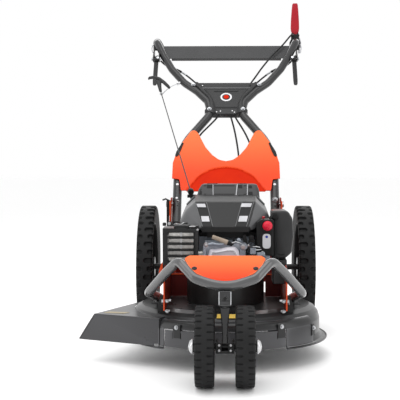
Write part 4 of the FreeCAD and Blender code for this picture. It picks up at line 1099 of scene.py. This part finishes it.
def t_grip():
    """Starter grip: two leaning wings over a stem."""
    turns = [math.tau * k / 20 for k in range(20)]
    wing = []
    for x, y, z, tall, deep in ((-290, 393, 860, 4.2, 4), (-284, 392, 864, 5.6, 5.6), (-266, 391, 866, 6.4, 7),
                                (-250, 388, 860, 7.0, 7.6), (-232, 381, 847, 6.6, 7), (-216, 373, 832, 6.0, 6),
                                (-208, 369, 823, 4.4, 4.2)):
        lean = math.radians(8 if x < -262 else -38)
        wing.append([(x - math.sin(lean) * tall * math.sin(a), y + deep * math.cos(a),
                      z + math.cos(lean) * tall * math.sin(a)) for a in turns])
    stem = []
    for z, half, cx, cy, deep in ((854, 15, -252, 385, 6.5), (842, 9, -249, 379, 6.5), (828, 6.8, -246, 371, 6),
                                  (812, 5.4, -242, 361, 5.4), (808, 3.4, -241, 359, 3.4)):
        stem.append([(cx + half * math.cos(a), cy + deep * math.sin(a), z) for a in turns])
    piece("starter_t_grip", [skin(wing), skin(stem)], PLASTIC["dark"], "starter_grip", smooth_angle=60,
          replaced=["starter_grip"])


def rope_fittings():
    """Wire eye that guides the rope, its clamp, the outlet at the engine, and the cables' springs and sleeves."""
    run = Vector(ROPE_END) - Vector(ROPE_START)
    eye = Vector(ROPE_END) - run.normalized() * ROPE_EYE_BACK
    ring = circle(eye, run, 4.6, 22)
    wire = spline_line([tuple(eye + Vector((4.6, 0, 0))), (-222, 378, 818), (-200, 402, 836), (-178, 420, 845)])
    piece("rope_guide", [tube_along(ring + ring[:2], 1.3, 8), tube_along(wire, 1.3, 8)], METAL["zinc"], "handle")
    clamp = [bar((-184, 417, 841), (-170, 424, 850), 5.2), bar((-181, 414, 846), (-181, 408, 848), 3)]
    piece("rope_guide_clamp", clamp, METAL["cap"], "handle")
    ends = [turning(ROPE_START, run, [(8.5, -8), (9.5, -4), (9.5, 2), (6, 7), (3.4, 9)], 20),
            bar((-112, -392, 452), (-90, -392, 452), 5)]
    piece("rope_outlet", ends, PLASTIC["black"], "root")
    for sign, word in SIDES:
        for name, stretch, steps, radius, finish in (
                ("cable_spring", ((150, 883, -6.5), (159, 890, -8), (168, 897.5, -9.6)), 24, 4.0, METAL["zinc"]),
                ("cable_sleeve", ((170, 899, -10), (180, 907, -13), (190, 914, -16)), 10, 4.6, PLASTIC["black"])):
            line = spline_line([handle(sign * x, z, off) for x, z, off in stretch], steps)
            piece(f"{name}_{word}", tube_along(line, radius, 14), finish, "handle")


fairing()
shield()
centre_cover()
tube_fixings()
hand_levers()
blade_control()
t_grip()
rope_fittings()


# ---------------------------------------------------------------- engine details
def valve_cover():
    """Pressed valve cover with a bright line round its face, a painted highlight on its bevel."""
    outline = [(-47, 248), (40, 248), (39, 300), (36, 316), (26, 326), (8, 326), (-10, 322), (-28, 319),
               (-41, 321), (-46, 302)]
    shell = cushion(outline, 7, [(-640, 0), (-668, 0.5), (-676, 2.5), (-680, 6), (-680.5, 8.5), (-678, 10)])
    piece("valve_cover_shell", shell, METAL["valve"], "root", replaced=["valve_cover"])
    # painted highlight along the bevel of the face
    line = [(x, -680.3, z) for x, z in inset([(p.x, p.y) for p in rounded(outline, 7)], 7.2)]
    piece("valve_cover_rim_highlight", tube_along(line + line[:2], 1.2, 8), METAL["cap"], "root")


def plug_and_links():
    """Ribbed spark boot and its lead, the throttle links, and the castings and bolts of the cylinder head."""
    start, end = Vector((-35, -641, 352)), Vector((5, -643, 337))
    rings = [(4.6, 0), (5.6, 1.5)]
    for k in range(9):
        rings += [(6.0 + 0.13 * k, 3 + 4.4 * k), (5.2 + 0.16 * k, 5.2 + 4.4 * k)]
    rings += [(7.0, 43), (6.4, 45)]
    piece("spark_boot", turning(start, end - start, rings, 20), RUBBER["boot"], "root",
          replaced=["spark_plug_boot"])
    dark = [turning(end, end - start, [(6.6, 0), (6.9, 4), (5.4, 9), (4.8, 15)], 18),
            tube_along([(16, -643, 333), (24, -634, 333), (27, -612, 335), (22, -600, 338)], 3.4, 12),
            sheet_xz([(50, 300), (58, 300), (60, 340), (54, 356), (47, 352)], -604, 4),
            sheet_xz([(62, 332), (80, 334), (76, 352), (66, 354)], -598, 4),
            bar((70, -606, 346), (70, -590, 346), 6), bar((60, -612, 318), (60, -596, 318), 4.5)]
    piece("plug_connector", dark, PLASTIC["black"], "root", bevel=0.5)
    links = [tube_along([(18, -646, 336), (28, -648, 339), (38, -644, 336), (46, -636, 330)], 1.7, 10),
             tube_along([(74, -606, 322), (84, -608, 323), (94, -606, 321)], 1.6, 10),
             tube_along([(74, -606, 314), (86, -608, 314), (97, -604, 315)], 1.6, 10),
             bar((62, -612, 326), (62, -598, 326), 3.0), bar((101, -601, 306), (101, -594, 306), 4.0)]
    piece("throttle_links", links, METAL["zinc"], "root")
    cast = [turning((36, -630, 342), (0, -1, 0), [(5.8, 0), (6.4, 4), (5.2, 8), (2.6, 10)], 20),
            cushion(rect(64, 84, 300, 320), 4, [(-600, 0), (-606, 0.5), (-609, 3)]),
            cushion(rect(84, 108, 296, 308), 3, [(-602, 0), (-606, 0.5), (-608, 2.5)]),
            tube_along([(-46, -645, 331), (-34, -646, 334), (-18, -645, 331), (-4, -645, 332)], 4.2, 12),
            cushion([(-62, 248), (-48, 248), (-50, 322), (-60, 324)], 3, [(-638, 0), (-644, 0.4), (-647, 2)]),
            cushion([(36, 248), (48, 248), (50, 318), (38, 322)], 3, [(-638, 0), (-644, 0.4), (-647, 2)])]
    piece("head_casting", cast, METAL["alloy"], "root")
    bolts = [hex_bolt(at, (0, -1, 0), 4.6, 4.5, 6.6) for at in
             ((-51, -647, 331), (47, -647, 325), (-55, -647, 262), (47, -647, 262))]
    bolts.append(turning((-51, -654, 331), (0, -1, 0), [(2.6, 0), (2.6, 5), (2.0, 5.6)], 12))
    piece("head_bolts", bolts, METAL["zinc"], "root")


def intake_side():
    """Air filter base with a well for the primer bulb, its blank label, the filter cover, and the box below."""
    edge = [(p.x, p.y) for p in rounded([(84, 300), (131, 296), (131, 396), (98, 396), (84, 388)], 5)]
    edge.sort(key=lambda p: math.atan2(p[1] - 378, p[0] - 112))
    turns = [math.atan2(z - 378, x - 112) for x, z in edge]
    rings = [[(x, y, z) for x, z in inset(edge, share)]
             for y, share in ((-524, 0), (-596, 0), (-599, 1.2), (-600, 3))]
    rings += [[(112 + 15.2 * math.cos(t), y, 378 + 15.2 * math.sin(t)) for t in turns] for y in (-600, -584)]
    piece("filter_base_shell", skin(rings), PLASTIC["black"], "root", replaced=["air_filter_base"])
    ring = turning((112, -599, 378), (0, -1, 0), [(17.6, 0), (17.6, 4.2), (16.4, 5.4), (14.6, 5.4), (13.9, 3.4)], 40)
    piece("primer_collar", ring, RUBBER["grip"], "root")
    blank = sheet_xz(rect(101, 123, 317, 357), -601.2, 1.2, 9.5)
    piece("filter_blank_label", blank, LABEL["silver"], "root", bevel=0.3)
    piece("filter_mark", turning((112, -601.4, 349), (0, -1, 0), [(3.6, 0), (3.6, 0.3), (3.0, 0.5)], 20),
          LABEL["blue"], "root")
    outline = [(127, 285), (164, 285), (182, 300), (188, 345), (185, 396), (172, 418), (127, 418)]
    shell = cushion(outline, [6, 14, 16, 18, 18, 18, 8], [(-440, 4), (-446, 0.8), (-552, 0), (-559, 1.6), (-562, 5)])
    piece("filter_cover_shell", shell, PLASTIC["dark"], "root", smooth_angle=50, replaced=["air_filter_cover"])
    crease = [tube_along([(136, -562.5, 292), (135, -563, 350), (136, -562.5, 411)], 1.6, 8)]
    crease.append(tube_along([(142, -562.4, 300), (152, -562.9, 296), (164, -562.4, 298)], 1.0, 8))
    piece("filter_cover_creases", crease, PLASTIC["black"], "root")
    knob = [bar((134, -556, 404), (134, -572, 404), 10.5, 24), bar((134, -572, 404), (134, -575, 404), 6),
            bar((120, -596, 398), (128, -590, 410), 3)]
    piece("filter_cover_knob", knob, PLASTIC["black"], "root")
    piece("choke_tab", cushion(rect(100, 108, 397, 404), 1.5, [(-580, 0), (-586, 0.3), (-588, 1.5)]),
          PLASTIC["red"], "root")
    block_low = [cushion(rect(131, 170, 215, 283), 4, [(-480, 0), (-556, 0), (-560, 2)])]
    piece("intake_lower_box", block_low, PLASTIC["dark"], "root")


def muffler_details():
    """Small fixings and clamps on the muffler, and its bright fins behind the guard."""
    light = [hex_bolt((-151, -622, 386), (0, -1, 0), 3.2, 3, 4.4),
             tube_along([(-142, -616, 380), (-134, -620, 386), (-120, -618, 383), (-112, -612, 388)], 1.4, 10),
             hex_bolt((-74, -641, 371), (0, -1, 0), 2.4, 2.5, 3.2), bar((-97, -638, 379), (-80, -638, 379), 1.6)]
    piece("muffler_fixings", light, METAL["steel"], "root")
    dark = [sheet_xz([(-158, 379), (-140, 379), (-140, 384), (-146, 392), (-156, 392), (-158, 386)], -622, 3, 1),
            bar((-165, -612, 379), (-165, -612, 388), 5), bar((-128, -600, 379), (-102, -600, 385), 4.5),
            cushion(rect(-94, -72, 374, 382), 2, [(-600, 0), (-634, 0), (-637, 1.5)]),
            cushion(rect(-138, -96, 374, 383), 2.5, [(-600, 0), (-637, 0), (-640, 2)])]
    piece("muffler_clamps", dark, PAINT["black"], "root")
    ribs = []
    for k in range(5):
        z = 291 + 16.6 * k
        ribs.append(cushion(rect(-153.5, -83.5, z - 6.3, z + 6.3), 2, [(-626, 0), (-631, 0.4), (-633, 2)]))
    piece("muffler_fins", ribs, METAL["muffler"], "root")
    folds = [sheet_xz(rect(-121, -116, 284, 366), -634.5, 2, 0.5)]
    piece("muffler_seam", folds, METAL["steel"], "root")


# ---------------------------------------------------------------- frame and deck details
def frame_fixings():
    """Bolts, deck brackets, and bright red strips on the chassis edges and platform lip that are painted highlights.
    """
    bolts = []
    for sign, _ in SIDES:
        for y in (-610, -330):
            bolts.append(hex_bolt((sign * 166, y, 172), (sign, 0, 0), 8, 6, 10))
        bolts.append(hex_bolt((sign * 166, -560, 232), (sign, 0, 0), 7, 6, 9))
        for z, y in ((178, -634), (150, -630)):
            bolts.append(hex_bolt((sign * 157, y, z), (0, -1, 0), 4.0, 3.6, 4.8))
            bolts.append(bar((sign * 157, y - 4, z), (sign * 157, y - 10, z), 2.4))
        bolts.append(bar((sign * 146, -626, 178), (sign * 163, -626, 178), 3.4))
        bolts.append(bar((sign * 149, -626, 150), (sign * 163, -626, 150), 3.4))
    bolts.append(hex_bolt((184, 30, 410), (1, 0, 0), 12, 8, 15))
    bolts.append(hex_bolt((163, 3, 425), (0, -1, -0.3), 8.4, 5, 10.5))
    bolts.append(hex_bolt((-160, 5, 421), (0, -1, -0.3), 4.6, 4))
    bolts.append(hex_bolt((-213, -520, 134), (0, 0, 1), 8, 11, 12))
    for x, _, _ in (LEFT_LOWER[-1], RIGHT_LOWER[-1], MIDDLE_LOWER[-1]):
        bolts.append(bar((x, -15, 260), (x, -15, 272), 5.5))
    for sign, _ in SIDES:
        bolts.append(bar((sign * 150, 30, 410), (sign * 184, 30, 410), 5.8))
    piece("frame_bolts_detail", bolts, METAL["zinc"], "root", replaced=["frame_bolts"])
    brackets = []
    for sign, _ in SIDES:
        outline = [(sign * 168, 134), (sign * 184, 134), (sign * 184, 160), (sign * 177, 190), (sign * 168, 190)]
        brackets.append(sheet_xz(outline, -604, 4, 2))
        a, b = span(sign, 166, 170)
        brackets.append(block((a, -604, 150), (b, -560, 188)))
    piece("deck_brackets", brackets, PAINT["black"], "root", bevel=0.6)
    # bright strips on the plate edges: painted highlights
    edges = [sheet_xz(rect(*span(sign, 162.8, 166.4), 153, 262), -641.2, 1.2, 0.5) for sign in (-1, 1)]
    edges.append(sheet_xz([(-170, 228), (-185, 228), (-179, 262), (-171, 284)], -600, 3, 2))
    for sign, _ in SIDES:
        edges.append(sheet_xz(rect(*span(sign, 180.8, 184.4), 262, 424), -62, 1.2, 0.5))
    # painted highlight line along the platform's front lip
    lips = [tube_along([(x0, -353.6, 218), (x1, -353.6, 218)], 2.0, 8) for x0, x1 in ((-161, -84), (120, 161))]
    piece("chassis_edge_highlights", edges + lips, PAINT["bright"], "root")


def caster_details():
    """Socket, neck and yoke of the twin front wheels, with their axle and hub caps."""
    stem = [slab(level_ring(-15, 15, -895, -865, 204, 2), (0, 0, 36))]
    piece("caster_socket", stem, PAINT["tube_grey"], "root", bevel=1.2)
    # zinc lines on the socket's upright edges: painted highlights
    edges = [bar((sign * 14.2, -895.2, 206), (sign * 14.2, -895.2, 238), 1.3, 8) for sign in (-1, 1)]
    piece("caster_socket_edge_highlights", edges, METAL["zinc"], "root")
    hole = turning((0, -895.2, 222), (0, -1, 0), [(4.6, 0), (4.6, 1.2), (3.2, 1.2), (2.6, 0.4)], 20)
    piece("caster_socket_hole", hole, PAINT["black"], "root")
    neck = []
    for z, half, deep in ((112, 8, 10.5), (130, 7, 10.5), (160, 8.5, 10.5), (184, 11, 10.5), (198, 12.5, 10.5)):
        neck.append(level_ring(-half, half, CASTER_Y - deep, CASTER_Y + deep, z, 3.4))
    collar = turning((0, CASTER_Y, 197), (0, 0, 1), [(12, 0), (13.5, 1.5), (13.5, 5.5), (12, 6.6)], 28)
    piece("caster_neck", [skin(neck), collar, bar((0, CASTER_Y, 190), (0, CASTER_Y, 236), 9.6)],
          PAINT["tube_dark"], "caster", smooth_angle=45, replaced=["caster_stem"])
    yoke, bolts = [block((-22, -890, 86), (22, -853, 93))], []
    for sign, _ in SIDES:
        a, b = span(sign, 18, 22.5)
        yoke.append(slab(rounded([(a, -892, 86), (a, -852, 86), (a, -852, 116), (a, -892, 116)], 5), (b - a, 0, 0)))
        yoke.append(sheet_xz(rect(*span(sign, 8, 21), 90, 112), -890, 3, 2))
        bolts.append(hex_bolt((sign * 14, -890, 107), (0, -1, 0), 3.2, 2.6))
        bolts.append(hex_bolt((sign * 14, -890, 94), (0, -1, 0), 3.2, 2.6))
    piece("caster_yoke", yoke, PAINT["black"], "caster", bevel=0.7)
    piece("caster_yoke_bolts", bolts, METAL["blade"], "caster")
    axle, caps = [bar((-80, -WHEELBASE, FRONT_R), (80, -WHEELBASE, FRONT_R), 7.8)], []
    for sign, _ in SIDES:
        axle.append(turning((sign * 73.6, -WHEELBASE, FRONT_R), (sign, 0, 0), [(15, 0), (15, 3.5), (12, 4.5)], 28))
        dome = [(18, 0), (18.6, 1.6), (17.6, 4.4), (14.6, 8.0), (9.5, 10.8), (4, 12.3), (0.5, 12.6)]
        caps.append(turning((sign * 78.0, -WHEELBASE, FRONT_R), (sign, 0, 0), dome, 36))
    piece("front_axle_bar", axle, PAINT["black"], "caster", replaced=["front_axle"])
    piece("hub_caps", caps, METAL["cap"], "caster")


def arc_band(first, last, profile, step=2.0):
    """Band round the deck between two angles from its front, over a closed profile of (radius, height)."""
    count = max(2, round((last - first) / step))
    rings = []
    for k in range(count + 1):
        a = math.radians(first + (last - first) * k / count)
        rings.append([(math.sin(a) * r, DECK_Y - math.cos(a) * r, z) for r, z in profile])
    return skin(rings)


def arc_line(first, last, radius, z, thick, step=2.0):
    """Round line along the deck at one radius and height."""
    count = max(2, round((last - first) / step))
    line = [math.radians(first + (last - first) * k / count) for k in range(count + 1)]
    return tube_along([(math.sin(a) * radius, DECK_Y - math.cos(a) * radius, z) for a in line], thick, 8)


def deck_details():
    """Rolled brow and skirt, the hinged flap with its tabs, bolts and slots, white lines of painted light in the gap
    under the brow, and a blank label.
    """
    brow = [(268.5, 133), (274, 131.5), (280, 127.5), (284.5, 121.5), (287, 114), (287.2, 109.6), (285.6, 109.6),
            (283, 117), (277, 125), (268.5, 130)]
    skirt = [(286.2, 61), (289.2, 60.4), (289.4, 106), (287.8, 110.5), (285.6, 110.5), (286.2, 104)]
    piece("deck_brow", arc_band(-37.5, 56, brow), PAINT["deck"], "root", smooth_angle=50)
    piece("deck_skirt", [arc_band(34.3, 56, skirt), arc_band(-38.2, -34.4, skirt)], PAINT["deck"], "root",
          smooth_angle=50)
    skin_profile = [(SKIRT_IN, 60.2), (SKIRT_OUT, 60.2), (SKIRT_OUT + 0.2, 107), (SKIRT_IN + 0.2, 107)]
    piece("flap_face", arc_band(-33.6, 33.6, skin_profile), PAINT["deck"], "flap", smooth_angle=50,
          replaced=["front_flap"])
    piece("flap_lip", [arc_line(-33.4, 33.4, SKIRT_OUT, 61.4, 1.7)], PAINT["tube_grey"], "flap")
    # white lines in the gap between brow and flap: painted light
    light = [arc_line(a, b, 285.0, 108.4, 0.9) for a, b in ((-33, -30), (-23, -12), (-6, 6), (12, 23), (31, 54))]
    piece("deck_front_gap_light", light, LABEL["white"], "root")
    piece("deck_skirt_lip", [arc_line(34.4, 58, SKIRT_OUT, 61.4, 1.9), arc_line(-37.6, -34.4, SKIRT_OUT, 61.4, 1.7)],
          PAINT["tube_grey"], "root")
    tabs, bolts, slots = [], [], []
    for angle, low, high in ((-26.2, 88, 126), (30.8, 88, 128), (55.2, 82, 112)):
        a = math.radians(angle)
        wide, out = 2.2 if angle < 50 else 1.2, SKIRT_OUT + 0.6
        profile = [(out - 1.0, low), (out + 1.2, low), (out + 1.2, high - 5), (out - 1.5, high), (out - 4, high),
                   (out - 1.0, high - 6)]
        tabs.append(arc_band(angle - wide, angle + wide, profile, 0.6))
        at = (math.sin(a) * (out + 1.0), DECK_Y - math.cos(a) * (out + 1.0), high - 10 if angle < 50 else 101)
        bolts.append(hex_bolt(at, (math.sin(a), -math.cos(a), 0), 4.2, 3.6, 6.0))
        for side in (-1, 1):
            slots.append(arc_line(angle + side * (wide + 0.2), angle + side * (wide + 0.35), out + 0.2, low + 4, 0.9))
            edge = math.radians(angle + side * (wide + 0.25))
            slots.append(tube_along([(math.sin(edge) * out, DECK_Y - math.cos(edge) * out, z)
                                     for z in (low - 2, low + 6, low + 14)], 0.8, 6))
    piece("flap_tabs", tabs, PAINT["deck"], "root", bevel=0.4, replaced=["flap_hinge"])
    piece("flap_tab_slots", slots, PLASTIC["black"], "root")
    piece("flap_tab_bolts", bolts, METAL["zinc"], "root")
    piece("deck_rolled_edge", [arc_line(58, 194, 289.5, 56.6, 2.6, 4), arc_line(264, 322, 289.5, 56.6, 2.6, 4)],
          PAINT["deck"], "root")
    label = [(257.5, 140.2), (241.5, 148.6), (241.4, 149.0), (257.9, 140.9)]
    piece("deck_blank_label", arc_band(-5, 8, label), LABEL["yellow"], "root")


def chute_seam():
    """Dark joint and rolled edges where the chute's front wall meets the deck, and a blank label on its top."""
    def chute_point(out, back, z):
        return (-172.0 - 0.912 * out + 0.410 * back, -662.0 + 0.410 * out + 0.912 * back, z)
    dark = [tube_along([chute_point(3, -1.2, 61), chute_point(3, -1.2, 98), chute_point(3, -1.2, 133)], 1.5, 8),
            tube_along([chute_point(3, 0, 134.5), chute_point(3, 40, 134.5)], 1.3, 8)]
    piece("chute_joint", dark, PLASTIC["black"], "root")
    edge = [tube_along([chute_point(206, -0.5, 133.4), chute_point(100, -0.5, 133.6), chute_point(2, -0.5, 133.6)],
                       1.2, 8),
            tube_along([chute_point(256, 0, 61.5), chute_point(231, 0, 98), chute_point(206, 0, 133.4)], 1.6, 8)]
    piece("chute_edges", edge, PAINT["deck"], "root")
    label = [chute_point(192, 22, 134.2), chute_point(188, 46, 134.2), chute_point(128, 60, 134.2),
             chute_point(132, 36, 134.2)]
    piece("chute_blank_label", slab(rounded(label, 4), (0, 0, 0.5)), LABEL["cream"], "root")


valve_cover()
plug_and_links()
intake_side()
muffler_details()
frame_fixings()
caster_details()
deck_details()
chute_seam()
